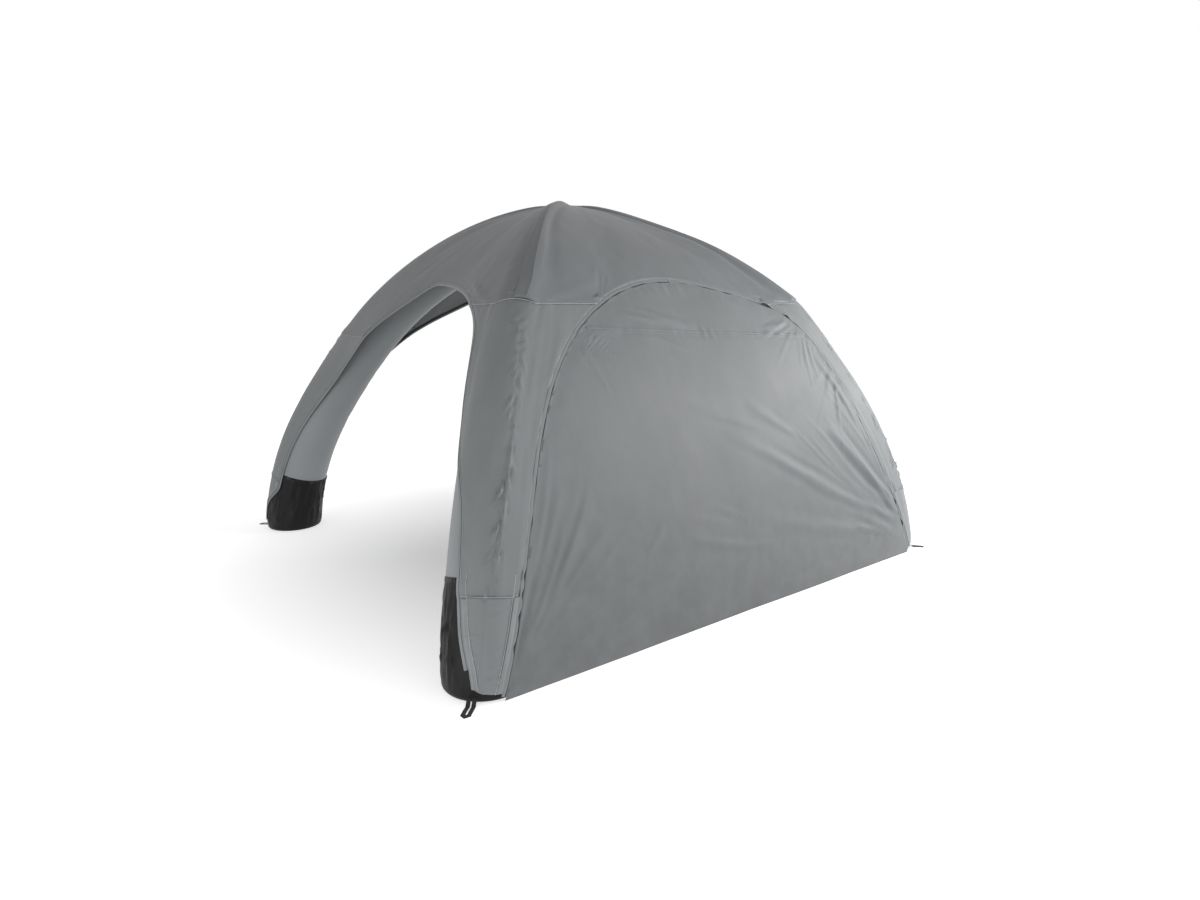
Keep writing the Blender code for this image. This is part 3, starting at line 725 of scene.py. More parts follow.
def make_camera():
    """Camera at the photograph's viewpoint."""
    heading, pitch, roll = math.radians(52.71), math.radians(10.46), math.radians(-0.33)
    level = math.cos(pitch)
    ahead = Vector((-math.sin(heading) * level, math.cos(heading) * level, -math.sin(pitch)))
    right = Vector((math.cos(heading), math.sin(heading), 0.0))
    up = right.cross(ahead)
    right, up = right * math.cos(roll) + up * math.sin(roll), up * math.cos(roll) - right * math.sin(roll)
    data = bpy.data.cameras.new("camera")
    data.sensor_width = 36.0
    data.lens = FOCAL_PIXELS * data.sensor_width / PHOTO_WIDTH
    camera = add_object("camera", data)
    camera.matrix_world = Matrix((right, up, -ahead)).transposed().to_4x4()
    camera.location = (4.956, -3.451, 1.869)
    bpy.context.scene.camera = camera


def add_light(name, place, target, size, power):
    data = bpy.data.lights.new(name, "AREA")
    data.shape = "DISK"
    data.size = size
    data.energy = power
    light = add_object(name, data)
    light.location = place
    light.rotation_mode = "QUATERNION"
    light.rotation_quaternion = (Vector(target) - Vector(place)).to_track_quat("-Z", "Y")
    light.visible_camera = False


WHITE = (1.0, 1.0, 1.0, 1.0)

# The sky: where it glows, how bright it is low and high, and its glow. Then the floor's own glow, painted
# light since the floor is no lamp, near the tent and far from it, dimmer near the tent as painted shade round
# it, and the distances between which it changes.
SKY_GLOW_WAY = (0.80, 0.53, 0.28)
SKY_LOW = 1.0
SKY_TOP = 0.15
SKY_GLOW = 0.95
FLOOR_GLOW = (0.22, 0.62)
FLOOR_GLOW_REACH = (1.0, 2.8)


def make_stage():
    """White floor under a white sky that is brightest low on the right, where the key light stands too."""
    material, tree, shader = new_material("studio_floor", 0.9, 0.0, 0.1)
    place = node(tree, "NewGeometry").outputs["Position"]
    grain = stretched_noise(tree, place, 0.8, 3.0)
    tone = scaled_colour(tree, (0.76, 0.76, 0.76), remap(tree, grain, 0.99, 1.01))
    away = node(tree, "VectorMath", {0: place}, operation="LENGTH").outputs["Value"]
    # The floor glows with painted light, which also lights the tent from below. The glow is dimmer near the
    # tent as painted shade.
    glow = remap(tree, away, *FLOOR_GLOW, *FLOOR_GLOW_REACH)
    feed(tree, shader, {"Base Color": tone, "Emission Color": WHITE, "Emission Strength": glow})
    bpy.ops.mesh.primitive_circle_add(vertices=96, radius=40.0, fill_type="NGON")
    floor = bpy.context.object
    floor.name = "studio_floor"
    floor.data.materials.append(material)
    world = bpy.data.worlds.new("studio")
    world.use_nodes = True
    bpy.context.scene.world = world
    sky = world.node_tree
    towards = node(sky, "TexCoord").outputs["Generated"]
    facing = node(sky, "VectorMath", {0: towards, 1: SKY_GLOW_WAY}, operation="DOT_PRODUCT").outputs["Value"]
    glow = times(sky, maths(sky, "POWER", maths(sky, "MAXIMUM", facing, 0.0), 3.0), SKY_GLOW)
    height = node(sky, "SeparateXYZ", {0: towards}).outputs["Z"]
    lit = maths(sky, "ADD", remap(sky, height, SKY_LOW, SKY_TOP), glow)
    seen = node(sky, "LightPath").outputs["Is Camera Ray"]
    shown = node(sky, "Mix", {"Factor": seen, 2: lit, 3: 1.0}, data_type="FLOAT").outputs[0]
    feed(sky, sky.nodes["Background"], {"Color": WHITE, "Strength": shown})
    bpy.context.scene.view_settings.view_transform = "Standard"
    add_light("key", (4.1, 5.2, 3.3), (1.9, 1.2, 1.3), 1.8, 345.0)
    add_light("front_fill", (3.5, -7.2, 0.8), (1.2, -1.8, 0.9), 3.0, 150.0)


def cover_reach(kind, station, offset=TAPE_WIDTH):
    """Distance from a leg's ridge round to the edge of its cover."""
    on_tube = skin_radius(station) * leave_angle(station)
    _, half, height = np.moveaxis(tube_point(station, leave_angle(station), SKIN_OUT), -1, 0)
    return on_tube + half - arch_half_width(kind, offset, height)


def leg_grid(corner, stations, shares):
    """Skin points round one leg, from its Y-facing edge (share -1) to its X-facing edge (share 1)."""
    stations, shares = np.broadcast_arrays(stations, shares)
    points, distance, reach = [], [], []
    for faces_x in (False, True):
        kind = leg_kind(corner, faces_x)
        reach.append(cover_reach(kind, stations))
        distance.append(np.abs(shares) * reach[-1])
        points.append(on_leg(corner, faces_x, skin_point(kind, stations, distance[-1])))
    faces_x = shares > 0.0
    points = np.where(faces_x[..., None], points[1], points[0])
    reach, distance = np.where(faces_x, reach[1], reach[0]), np.where(faces_x, distance[1], distance[0])
    return points, np.where(faces_x, distance, -distance), reach - distance


def seam_place(corner, height):
    """How far round from the ridge the centre seam of a leg is pulled at a height by the wall."""
    if CORNERS[corner][0] < 0:
        return 0.012 * np.sin(np.asarray(height) * 3.0)
    return np.interp(height, (0.05, 0.50, 0.80, 1.25, 1.60, 1.97), (0.045, 0.062, 0.098, 0.108, 0.104, 0.055))


def seam_puckers(seed, corner, round_leg, height, low, high, count, tall):
    """Short slanting folds that hang from the centre seam of a leg."""
    random = np.random.default_rng(seed)
    total = 0.0
    for step in range(count):
        level = mix(high, low, (step + random.uniform(0.0, 0.8)) / count)
        side = 1.0 if random.uniform() < 0.62 else -1.0
        start = (float(seam_place(corner, level)) + side * 0.004, level)
        drop = random.uniform(0.03, 0.11)
        end = (start[0] + side * drop * random.uniform(0.15, 0.6), level - drop)
        wide, high_fold = random.uniform(0.005, 0.009), tall * random.uniform(0.4, 1.2)
        total = total + fold(round_leg, height, end, start, wide, high_fold)
    return total


def make_leg_cover(seed, corner):
    hem, hem_height = hem_of(corner)
    stations = mix(PATCH_TOP - 0.002, hem + 0.012, np.linspace(0.0, 1.0, COVER_ROWS + 1))[:, None]
    shares = np.linspace(-1.0, 1.0, 2 * COVER_COLUMNS + 1)
    points, round_leg, edge = leg_grid(corner, stations, shares)
    height = points[..., 2]
    seam = round_leg - seam_place(corner, height)
    held = ramp(0.0, 0.05, edge)
    push = SKIN_LIFT + 0.0030 * noise(seed, round_leg / 0.07, height / 0.75) * held
    push = push + 0.0016 * noise(seed + 1, round_leg / 0.033, height / 0.22) * held
    push = push - 0.0035 * hump(seam, 0.0, 0.005)
    push = push - 0.0050 * hump(seam, -0.045, 0.030) * (1.0 - ramp(0.9, 1.6, height))
    push = push + seam_puckers(seed + 2, corner, round_leg, height, 0.52, 1.95, 60, 0.0080) * held
    push = push + seam_puckers(seed + 6, corner, round_leg, height, 0.42, 1.15, 46, 0.0085) * held
    gathers = crease(seed + 3, round_leg / 0.030, height / 0.5) * ramp(hem_height - 0.30, hem_height, height)
    push = push + 0.0050 * gathers * hump(round_leg, 0.02, 0.22) * held
    push = push + 0.0035 * crease(seed + 4, height / 0.16, round_leg / 0.5) * hump(edge, 0.02, 0.03)
    over_boot = 1.0 - ramp(NEAR_BOOT_TOP + 0.004, NEAR_BOOT_TOP + 0.03, stations)
    push = mix(push, np.maximum(push, 0.0005), over_boot)
    flat = points_of(round_leg, stations * LEG_LENGTH, 0.0)[..., :2]
    item = add_cloth("cover_cloth_" + corner, points, push, SKIN_CLOTH, flat)
    return dress(item, SKIN_SLOT, "leg_cover_" + corner)


def patch_foot(corner, place):
    """Station of a patch's lower edge, a distance round from the ridge: it is cut away beside the boot."""
    if CORNERS[corner][0] > 0:
        foot = np.interp(-place, (-0.30, -0.139, -0.051, -0.014, 0.010, 0.028, 0.038, 0.046),
                         (0.020, 0.040, 0.046, 0.056, 0.064, 0.085, 0.120, 0.17))
    else:
        foot = np.interp(np.abs(place), (0.0, 0.05, 0.13), (0.030, 0.040, 0.085))
    return foot / LEG_LENGTH


def make_leg_patch(seed, corner):
    shares = np.linspace(-1.0, 1.0, 2 * PATCH_COLUMNS + 1)
    sides = [cover_reach(leg_kind(corner, faces_x), 0.015) for faces_x in (True, False)]
    place = shares * np.where(shares > 0.0, *sides)
    foot = patch_foot(corner, place) + 0.0012 * noise(seed + 5, place / 0.055)
    stations = mix(foot, PATCH_TOP + 0.003, np.linspace(0.0, 1.0, PATCH_ROWS + 1)[:, None])
    points, round_leg, _ = leg_grid(corner, stations, shares)
    height = points[..., 2]
    top = height.max(axis=0, keepdims=True) - height
    seam = round_leg - seam_place(corner, height)
    random = np.random.default_rng(seed)
    push = SKIN_LIFT + 0.0016 + 0.0022 * noise(seed, round_leg / 0.06, height / 0.3)
    push = push + 0.0015 * hump(top, 0.006, 0.006) - 0.003 * hump(seam, 0.0, 0.005)
    for _ in range(13):
        level, side = random.uniform(0.08, 0.46), random.choice((-1.0, 1.0, 1.0))
        start = (float(seam_place(corner, level)) + side * 0.01, level)
        end = (start[0] + side * random.uniform(0.06, 0.13), level + random.uniform(-0.025, 0.02))
        wide, tall = random.uniform(0.006, 0.011), random.uniform(0.002, 0.0045)
        push = push + fold(round_leg, height, start, end, wide, tall)
    low = 1.0 - ramp(0.06, 0.20, height)
    push = push + 0.0040 * crease(seed + 3, round_leg / 0.045, height / 0.6) * low
    flat = points_of(round_leg, stations * LEG_LENGTH, 0.0)[..., :2]
    item = add_cloth("patch_cloth_" + corner, points, push, SKIN_CLOTH, flat)
    return dress(item, SKIN_SLOT, "leg_patch_" + corner)


def tube_grid(corner, stations, columns, out):
    angle = np.linspace(0.0, 2.0 * math.pi, columns, endpoint=False)
    stations, angle = np.broadcast_arrays(stations[:, None], angle[None, :])
    return on_leg(corner, True, tube_point(stations, angle, out)), stations, angle


# Stations of the welds round a tube.
TUBE_SEAMS = (0.30, 0.46, 0.62, 0.76)


def make_leg_tube(seed, corner):
    stations = np.linspace(BOOT_TOP - 0.004, CROWN_EDGE, TUBE_ROWS + 1)
    points, station, angle = tube_grid(corner, stations, TUBE_COLUMNS, 0.0)
    length = station * LEG_LENGTH
    inner = ramp(0.0, 1.0, -np.cos(angle))
    push = 0.002 + 0.0010 * noise(seed, angle * 4.0 / math.pi, length / 0.3)
    for place in TUBE_SEAMS:
        away = (station - place) * LEG_LENGTH
        push = push - 0.0035 * hump(away, 0.0, 0.007) + 0.0015 * hump(np.abs(away), 0.02, 0.012)
        ripple = noise(seed + 1, angle * 9.0 / math.pi + place * 50.0, 0.0)
        push = push + 0.0030 * ripple * hump(away, 0.0, 0.045) * (0.35 + 0.65 * inner)
    push = push + 0.0022 * crease(seed + 2, length / 0.055, angle * 1.2) * inner**2
    flat = np.stack([angle * 0.2, length], axis=-1)
    item = add_cloth("tube_cloth_" + corner, points, push, TUBE_CLOTH, flat, closed=True)
    return dress(item, TUBE_SLOT, "leg_tube_" + corner)


def make_crown():
    """Four-way hub: two crossing tubes melted into one inflated skin."""
    angles = np.linspace(0.0, 2.0 * math.pi, CROWN_COLUMNS, endpoint=False)
    stations = np.linspace(CROWN_EDGE, 1.0, CROWN_ROWS)
    end = np.arange(CROWN_COLUMNS)
    parts = []
    for first, last in (("front_right", "back_left"), ("back_right", "front_left")):
        near = on_leg(first, True, tube_point(stations[:, None], angles[None, :], 0.0))
        far = on_leg(last, True, tube_point(stations[:, None], -angles[None, :], 0.0))
        points = np.concatenate([near, far[::-1][1:]], axis=0)
        rows = points.shape[0]
        faces = list(grid_faces(rows, CROWN_COLUMNS, True)) + [end, end[::-1] + (rows - 1) * CROWN_COLUMNS]
        parts.append((points.reshape(-1, 3), faces))
    shift = len(parts[0][0])
    points = np.concatenate([parts[0][0], parts[1][0]])
    faces = list(parts[0][1]) + [face + shift for face in parts[1][1]]
    item = add_piece("crown_cloth", points, faces, TUBE_CLOTH)
    turn_outwards(item)
    melt = item.modifiers.new("Melt", "REMESH")
    melt.mode = "VOXEL"
    melt.voxel_size = 0.012
    melt.use_smooth_shade = True
    relax = item.modifiers.new("Relax", "SMOOTH")
    relax.factor = 0.5
    relax.iterations = 6
    graph = bpy.context.evaluated_depsgraph_get()
    mesh = bpy.data.meshes.new_from_object(item.evaluated_get(graph))
    item.modifiers.clear()
    item.data = mesh
    count = len(mesh.vertices)
    place, normal = np.empty(3 * count, np.float32), np.empty(3 * count, np.float32)
    mesh.vertices.foreach_get("co", place)
    mesh.vertices.foreach_get("normal", normal)
    place, normal = place.reshape(-1, 3), normal.reshape(-1, 3)
    x, y, z = place.T.astype(float)
    across = np.minimum(np.abs(x), np.abs(y))
    valley = hump(across, 0.0, 0.012) * (z < TUBE_TOP + 0.05)
    radial = np.hypot(x, y)
    puckers = noise(61, np.arctan2(y, x) * 9.0, radial / 0.09) * hump(across, 0.0, 0.12)
    push = 0.002 - 0.004 * valley + 0.0030 * puckers
    place = place + normal * push[:, None]
    mesh.vertices.foreach_set("co", place.astype(np.float32).ravel())
    keep_flat(mesh, np.stack([x, y], axis=-1))
    mesh.shade_smooth()
    mesh.materials.clear()
    mesh.materials.append(TUBE_CLOTH)
    return dress(item, TUBE_SLOT, "crown_joint")


# A boot: the radius of its lower edge, its sole's height, and how far outside the tube it and its tape lie.
BOOT_ROUNDING, BOOT_SOLE, BOOT_OUT, BOOT_TAPE_OUT = 0.030, 0.0012, 0.004, 0.0055

# Angles between which the patch lies over a boot, and how far the boot's folds stand out under it.
BOOT_COVERED = {"pulled": (-0.35, 1.6), "slack": (-0.9, 0.9)}
BOOT_FOLD_COVERED = 0.0055


def make_boot(seed, corner):
    """Black cloth boot with a flat sole, a rounded lower edge and folds up its sides."""
    columns = BOOT_COLUMNS
    angle = np.linspace(0.0, 2.0 * math.pi, columns, endpoint=False)
    rows = []
    centre = on_leg(corner, True, tube_point(np.array([0.0]), 0.0, -FOOT_RADIUS))[0]
    foot = on_leg(corner, True, tube_point(np.full(columns, 0.0), angle, BOOT_OUT))
    for share in np.linspace(0.06, 0.86, 6):
        rows.append(points_of(*(mix(centre, foot, share).T[:2]), BOOT_SOLE))
    for turn in np.linspace(0.0, 0.5 * math.pi, 8)[1:]:
        inwards = 1.0 - BOOT_ROUNDING / FOOT_RADIUS * (1.0 - math.sin(turn))
        level = BOOT_SOLE + BOOT_ROUNDING * (1.0 - math.cos(turn))
        rows.append(points_of(*(mix(centre, foot, inwards).T[:2]), level))
    lift = (BOOT_ROUNDING + 0.006) / LEG_LENGTH
    top = NEAR_BOOT_TOP if corner == "front_right" else BOOT_TOP
    for station in np.linspace(lift, top, 44):
        rows.append(on_leg(corner, True, tube_point(np.full(columns, station), angle, BOOT_OUT)))
    points = np.stack(rows)
    height = points[..., 2]
    angles = np.broadcast_to(angle[None, :], height.shape)
    flat = np.stack([angles * FOOT_RADIUS, arc_length(points, 0)], axis=-1)
    sides = ramp(0.02, 0.10, height) * (1.0 - ramp(0.42, 0.52, height) * 0.6)
    lean = angles * 10.2 + 3.0 * height
    push = 0.0095 * crease(seed, lean, height / 0.45, 4.0) * sides
    push = push + 0.0055 * crease(seed + 2, 2.1 * lean - 5.0 * height, height / 0.30, 3.0) * sides
    push = push + 0.0020 * noise(seed + 1, angles * 9.0 + 3.0 * height, height / 0.12) * sides
    turned = np.where(angles > math.pi, angles - 2.0 * math.pi, angles)
    low_angle, high_angle = BOOT_COVERED["pulled" if CORNERS[corner][0] > 0 else "slack"]
    covered = (turned > low_angle) & (turned < high_angle)
    push = np.where(covered, np.minimum(push, BOOT_FOLD_COVERED), push)
    item = add_cloth("boot_cloth_" + corner, points, push - 0.001, BOOT_CLOTH, flat, closed=True)
    dress(item, BOOT_SLOT, "foot_boot_" + corner)
    rim = []
    for station in (top - 0.0055, top + 0.0008):
        rim.append(on_leg(corner, True, tube_point(np.full(columns, station), angle, BOOT_TAPE_OUT)))
    tape = lay_ribbon("boot_binding_" + corner, *rim, -0.0015, 0.0028, DARK_TAPE, closed=True)
    dress(tape, BOOT_SLOT)


# Rows of a roof panel lie closer together towards the crown.
ROW_POWER = 0.9


def crown_fade(rows):
    """Share of its folds that a roof panel keeps: they fade out over its last rows below the crown."""
    return 1.0 - ramp(0.86, 0.99, rows)


def roof_columns(kind):
    """Start station, place and share across of half a roof panel's columns, from the ridge to the middle."""
    hem_half = float(skin_half(HEMS[kind]))
    shoulder = SHOULDER_HALF[kind] / hem_half
    start = HEMS[kind] - 0.004
    columns = [(start, "tube", share) for share in np.linspace(0.0, 1.0, 15)[:-1]]
    columns += [(start, "flat", share) for share in np.linspace(1.0, shoulder, 9)[:-1]]
    turn = np.linspace(0.0, 0.5 * math.pi, 58)
    for width in SHOULDER_HALF[kind] * np.cos(turn) ** 0.85:
        station = float(station_at(arch_height(kind, TAPE_WIDTH, width)))
        columns.append((station, "flat", float(width / skin_half(station))))
    return columns


# How deep the long crease beside the ridges is on each roof panel, and each panel's long folds: start and end
# as offset and height, width and height. ROOF_TUCKS has the small pleat over the near leg's hem: the half
# it is on, its distance from the ridge and its height.
ROOF_CREASES = {"front": 0.001, "right": 0.012, "back": 0.004, "left": 0.004}
ROOF_FOLDS = {
    "front": [((1.13, 1.96), (0.66, 2.09), 0.017, 0.010), ((1.20, 1.93), (0.80, 2.02), 0.014, 0.008),
              ((-1.13, 1.96), (-0.72, 2.08), 0.017, 0.007)],
    "right": [((1.22, 1.88), (0.95, 2.02), 0.022, 0.010), ((1.26, 1.90), (1.08, 2.08), 0.018, 0.008),
              ((1.31, 1.90), (1.20, 2.10), 0.016, 0.008), ((-1.10, 1.97), (-0.60, 2.12), 0.030, 0.004)],
    "back": [((-1.13, 1.96), (-0.68, 2.08), 0.020, 0.008), ((1.13, 1.96), (0.72, 2.10), 0.017, 0.007)],
    "left": [((-1.13, 1.96), (-0.68, 2.08), 0.020, 0.008), ((1.13, 1.96), (0.72, 2.10), 0.017, 0.007)],
}
ROOF_TUCKS = {"right": (-1.0, 0.018, 0.010), "front": (1.0, 0.030, -0.006)}


def roof_half(kind):
    """Points of half a roof panel, from the ridge to its middle, and how far each lies from the ridge."""
    shares = (np.arange(ROOF_ROWS + 1) / ROOF_ROWS) ** ROW_POWER
    points, ridge = [], []
    for start, place, share in roof_columns(kind):
        station = mix(start, 1.0, shares)
        leave = leave_angle(station)
        radius = skin_radius(station)
        if place == "tube":
            points.append(tube_point(station, share * leave, SKIN_OUT))
            ridge.append(radius * share * leave)
        else:
            width = share * skin_half(station)
            points.append(skin_at_width(kind, station, width))
            ridge.append(radius * leave + skin_half(station) - width)
        points[-1][-1] = (0.0, 0.0, TUBE_TOP + CROWN_RADIUS + SKIN_OUT)
    return np.stack(points, axis=1), np.stack(ridge, axis=1)


# Share of the seams' shift on the legs away from the wall.
SLACK_SHIFT = 0.2


def seam_shift(height):
    """How far round from a ridge its seam lies at a height, on the legs that the wall pulls."""
    return np.interp(height, (1.95, 2.03, 2.10, 2.4, 2.7), (0.064, 0.072, 0.078, 0.046, 0.0))


# How far a ridge's seam stands up, and how far beside it the cloth rises to it.
RIDGE_PEAK, RIDGE_PEAK_REACH = 0.012, 0.07


def ridge_peak(from_seam):
    """How much the seam over a ridge lifts the roof beside it, like the ridge of a small roof."""
    return RIDGE_PEAK * np.clip(1.0 - from_seam / RIDGE_PEAK_REACH, 0.0, 1.0)


def hem_rise(height, hem_height):
    """How much further out the roof's cloth lies near its hem, over the leg's cover."""
    return (HEM_LIFT - SKIN_LIFT) * (1.0 - ramp(0.0, 0.10, height - hem_height))


def make_roof_panel(seed, side):
    (near, near_ridge), (far, far_ridge) = (roof_half(kind) for kind in half_kinds(side))
    local = np.concatenate([near, far[:, -2::-1] * np.array([1.0, -1.0, 1.0])], axis=1)
    ridge = np.concatenate([near_ridge, far_ridge[:, -2::-1]], axis=1)
    _, offset, height = np.moveaxis(local, -1, 0)
    first, last = half_kinds(side)
    hem_height = np.where(offset > 0.0, HEM_HEIGHTS[first], HEM_HEIGHTS[last])
    shoulder_half = np.where(offset > 0.0, SHOULDER_HALF[first], SHOULDER_HALF[last])
    slope = arc_length(local, 0)
    rows = np.broadcast_to(np.linspace(0.0, 1.0, ROOF_ROWS + 1)[:, None], height.shape)
    fade = crown_fade(rows)
    half_width = np.interp(height, SKIN_HEIGHT, SKIN_HALF)
    middle = np.clip(1.0 - np.abs(offset) / np.maximum(half_width, 0.05), 0.0, 1.0)
    arch_gap = np.where(np.abs(offset) < shoulder_half, slope, 1.0)
    ways = [SLACK_SHIFT if kind == "slack" else 1.0 for kind in (first, last)]
    shift = seam_shift(height) * np.where(offset > 0.0, *ways)
    from_seam = np.abs(ridge - shift) if side in ("right", "left") else ridge + shift
    calm = ramp(0.012, 0.07, from_seam) * ramp(0.0, 0.03, ridge)
    clear = ramp(0.006, 0.022, from_seam) * ramp(0.0, 0.015, ridge)
    held = ramp(0.0, 0.10, slope) * calm
    push = SKIN_LIFT + hem_rise(height, hem_height) * (np.abs(offset) > shoulder_half)
    push = push + ridge_peak(from_seam) * fade
    sag = 0.020 * ramp(0.0, 0.55, middle) * np.sin(math.pi * np.clip(rows, 0.0, 1.0)) ** 0.8
    push = push - sag * fade
    line = mix(0.205, 0.065, ramp(2.02, 2.62, height))
    push = push - ROOF_CREASES[side] * hump(ridge, line, 0.030) * ramp(2.00, 2.14, height) * fade
    push = push + 0.0040 * noise(seed, offset / 0.32, slope / 0.42) * held * fade
    push = push + 0.0016 * noise(seed + 1, offset / 0.11, slope / 0.16) * held * fade
    corner_run = np.hypot(np.abs(offset) - shoulder_half, height - hem_height)
    lean = np.arctan2(height - hem_height, shoulder_half - np.abs(offset))
    fanned = crease(seed + 2, lean * 5.0, corner_run / 0.5)
    push = push + 0.0026 * fanned * hump(corner_run, 0.18, 0.22) * held
    push = push + 0.0022 * crease(seed + 3, offset / 0.075, slope / 0.3) * hump(arch_gap, 0.03, 0.05) * calm
    for start, end, wide, tall in ROOF_FOLDS[side]:
        push = push + fold(offset, height, start, end, wide, tall) * clear
    if side in ROOF_TUCKS:
        toe, place, tall = ROOF_TUCKS[side]
        tuck = hump(ridge, place, 0.020) * hump(height, 2.03, 0.05) * (np.sign(offset) == toe)
        push = push + tall * tuck
    points = on_side(side, local)
    flat = np.stack([offset, slope], axis=-1)
    push = np.where(rows > 0.999, SKIN_LIFT, push)
    item = add_cloth("roof_cloth_" + side, points, push, ROOF_CLOTH, flat)
    return dress(item, SKIN_SLOT, "roof_panel_" + side)


# Long folds of the wall: start and end as offset and height, width, height and bow, and a scale for all.
WALL_FOLD_SIZE, WALL_FOLD_WIDTH = 1.15, 0.8
WALL_FOLDS = [
    ((1.84, 0.30), (1.04, 1.08), 0.055, 0.0170, 0.02), ((1.86, 0.26), (1.38, 0.60), 0.030, 0.0090, 0.0),
    ((1.82, 0.26), (0.34, 0.94), 0.040, 0.0110, 0.02), ((1.20, 0.56), (-0.06, 1.14), 0.045, 0.0050, 0.0),
    ((1.80, 0.20), (0.10, 0.58), 0.060, 0.0070, 0.02), ((0.30, 0.38), (-0.52, 0.55), 0.035, 0.0075, 0.03),
    ((-0.10, 0.57), (-0.46, 0.66), 0.020, 0.0045, 0.0), ((0.05, 0.57), (-0.28, 0.71), 0.020, 0.0055, 0.0),
    ((0.70, 0.14), (0.12, 0.14), 0.025, 0.0050, 0.0), ((0.30, 1.14), (-0.28, 1.31), 0.040, 0.0045, 0.0),
    ((0.68, 1.05), (0.24, 1.30), 0.045, 0.0055, 0.0), ((-1.55, 0.38), (-1.18, 0.90), 0.050, 0.0065, 0.03),
    ((-0.87, 0.53), (-0.70, 0.66), 0.030, 0.0045, 0.0), ((-1.34, 0.40), (-1.05, 0.50), 0.025, 0.0045, 0.0),
    ((-1.80, 0.15), (-1.15, 0.21), 0.030, 0.0050, 0.0), ((-0.42, 1.93), (0.05, 1.80), 0.035, 0.0055, 0.0),
    ((-0.60, 1.90), (-0.20, 1.84), 0.025, 0.0040, 0.0), ((-0.42, 1.77), (-0.10, 1.66), 0.022, 0.0035, 0.0),
    ((1.62, 0.60), (1.28, 1.42), 0.035, 0.0080, -0.02), ((1.44, 0.95), (1.16, 1.60), 0.030, 0.0060, -0.02),
]

# Folds that spread from the wall's corners: seed, corner, angles, how far from it they start and end, count,
# width and height.
WALL_FANS = (
    (13, (1.90, 0.10), (118.0, 172.0), (0.08, 0.3), (0.5, 1.7), 34, 0.016, 0.0040),
    (14, (-1.86, 0.06), (12.0, 72.0), (0.08, 0.3), (0.5, 1.3), 26, 0.016, 0.0046),
    (15, (-1.02, 1.80), (-70.0, 10.0), (0.02, 0.08), (0.15, 0.45), 22, 0.011, 0.0034),
    (16, (1.20, 1.88), (185.0, 262.0), (0.02, 0.1), (0.2, 0.6), 16, 0.012, 0.0042),
    (19, (1.36, 1.55), (205.0, 262.0), (0.02, 0.1), (0.3, 0.9), 14, 0.012, 0.0036),
)


def wall_seam_height(offset):
    """The seam across the wall, which falls slightly towards the back."""
    return 1.777 - 0.038 * offset


def wall_half(share, height, inset):
    """Half the wall's width at a height, on the half that holds a share of its width."""
    halves = {sign: arch_half_width(kind, inset, height) for sign, kind in WALL_KINDS.items()}
    return np.where(share < 0.0, halves[-1], halves[1])


def wall_push(offset, height):
    """How far the wall's cloth stands out at each point: its long folds, puckers and slack."""
    edge = np.full(offset.shape, 9.0)
    for sign, kind in WALL_KINDS.items():
        for width, level in np.stack(trace_arch(kind, 0.0), axis=-1)[::8]:
            edge = np.minimum(edge, np.hypot(offset - sign * width, height - level))
    held = ramp(0.0, 0.10, edge)
    push = SKIN_LIFT + 0.0060 * noise(11, offset / 0.60, height / 0.55) * held
    push = push + 0.0022 * noise(12, offset / 0.21 + height, height / 0.24 - offset) * held
    for start, end, wide, tall, bow in WALL_FOLDS:
        bend = fold(offset, height, start, end, WALL_FOLD_WIDTH * wide, WALL_FOLD_SIZE * tall, bow)
        push = push + bend * ramp(0.0, 0.06, edge)
    for seed, corner, angles, nearest, furthest, count, wide, tall in WALL_FANS:
        push = push + fan(seed, offset, height, corner, angles, nearest, furthest, count, wide, tall) * held
    lean = np.arctan2(height - 1.0, offset)
    push = push + 0.0034 * crease(17, lean * 22.0, edge / 0.4) * hump(edge, 0.035, 0.045)
    seam = height - wall_seam_height(offset)
    push = push + 0.0012 * hump(seam, 0.0, 0.008) - 0.0022 * hump(seam, -0.016, 0.010)
    push = push + 0.0022 * noise(18, offset / 0.035, seam / 0.10) * hump(seam, 0.0, 0.045) * held
    push = push - 0.0120 * fold(offset, height, (-1.80, 0.16), (-1.60, 0.62), 0.030, 1.0)
    push = push * np.where(height < 0.02, ramp(-0.02, 0.02, height), 1.0)
    return push


def make_wall():
    """The fitted wall: one sheet, zipped in along the archway and held down at its lower corners."""
    rise = np.sin(0.5 * math.pi * np.linspace(0.0, 1.0, WALL_ROWS + 1))[:, None]
    height = mix(WALL_FOOT, TOP_LEVEL - 0.0006, rise)
    shares = np.linspace(-1.0, 1.0, WALL_COLUMNS + 1)[None, :]
    offset = shares * wall_half(shares, height, -0.0006)
    height = height + 0.0 * offset
    local = skin_at_width("zipped", station_at(height), offset)
    low = height < SKIN_HEIGHT[0]
    local[..., 2] = np.where(low, height, local[..., 2])
    push = wall_push(offset, height)
    flat = np.stack([offset, arc_length(local, 0)], axis=-1)
    points = on_side("right", local)
    item = add_cloth("wall_cloth", points, push, WALL_CLOTH, flat)
    return dress(item, SKIN_SLOT, "side_wall_lower", "side_wall_upper")


# How far up an archway's edge its tape starts.
ARCH_STARTS = {"zipped": 0.022, "drawn": 0.022, "pulled": 0.165, "slack": 0.080}


def arch_line(kind, offset, sign, rows=170):
    """Points of the skin along one half of an archway, from a foot up to the middle of the top."""
    widths, heights = trace_arch(kind, offset)
    edge_widths, edge_heights = trace_arch(kind, 0.0)
    length = np.concatenate([[0.0], np.cumsum(np.hypot(np.diff(edge_widths), np.diff(edge_heights)))])
    index = np.arange(len(length))
    at = np.interp(np.linspace(ARCH_STARTS[kind], length[-1], rows), length, index)
    width, height = np.interp(at, index, widths), np.interp(at, index, heights)
    points = skin_at_width(kind, station_at(height), width)
    points[..., 1] *= sign
    return points


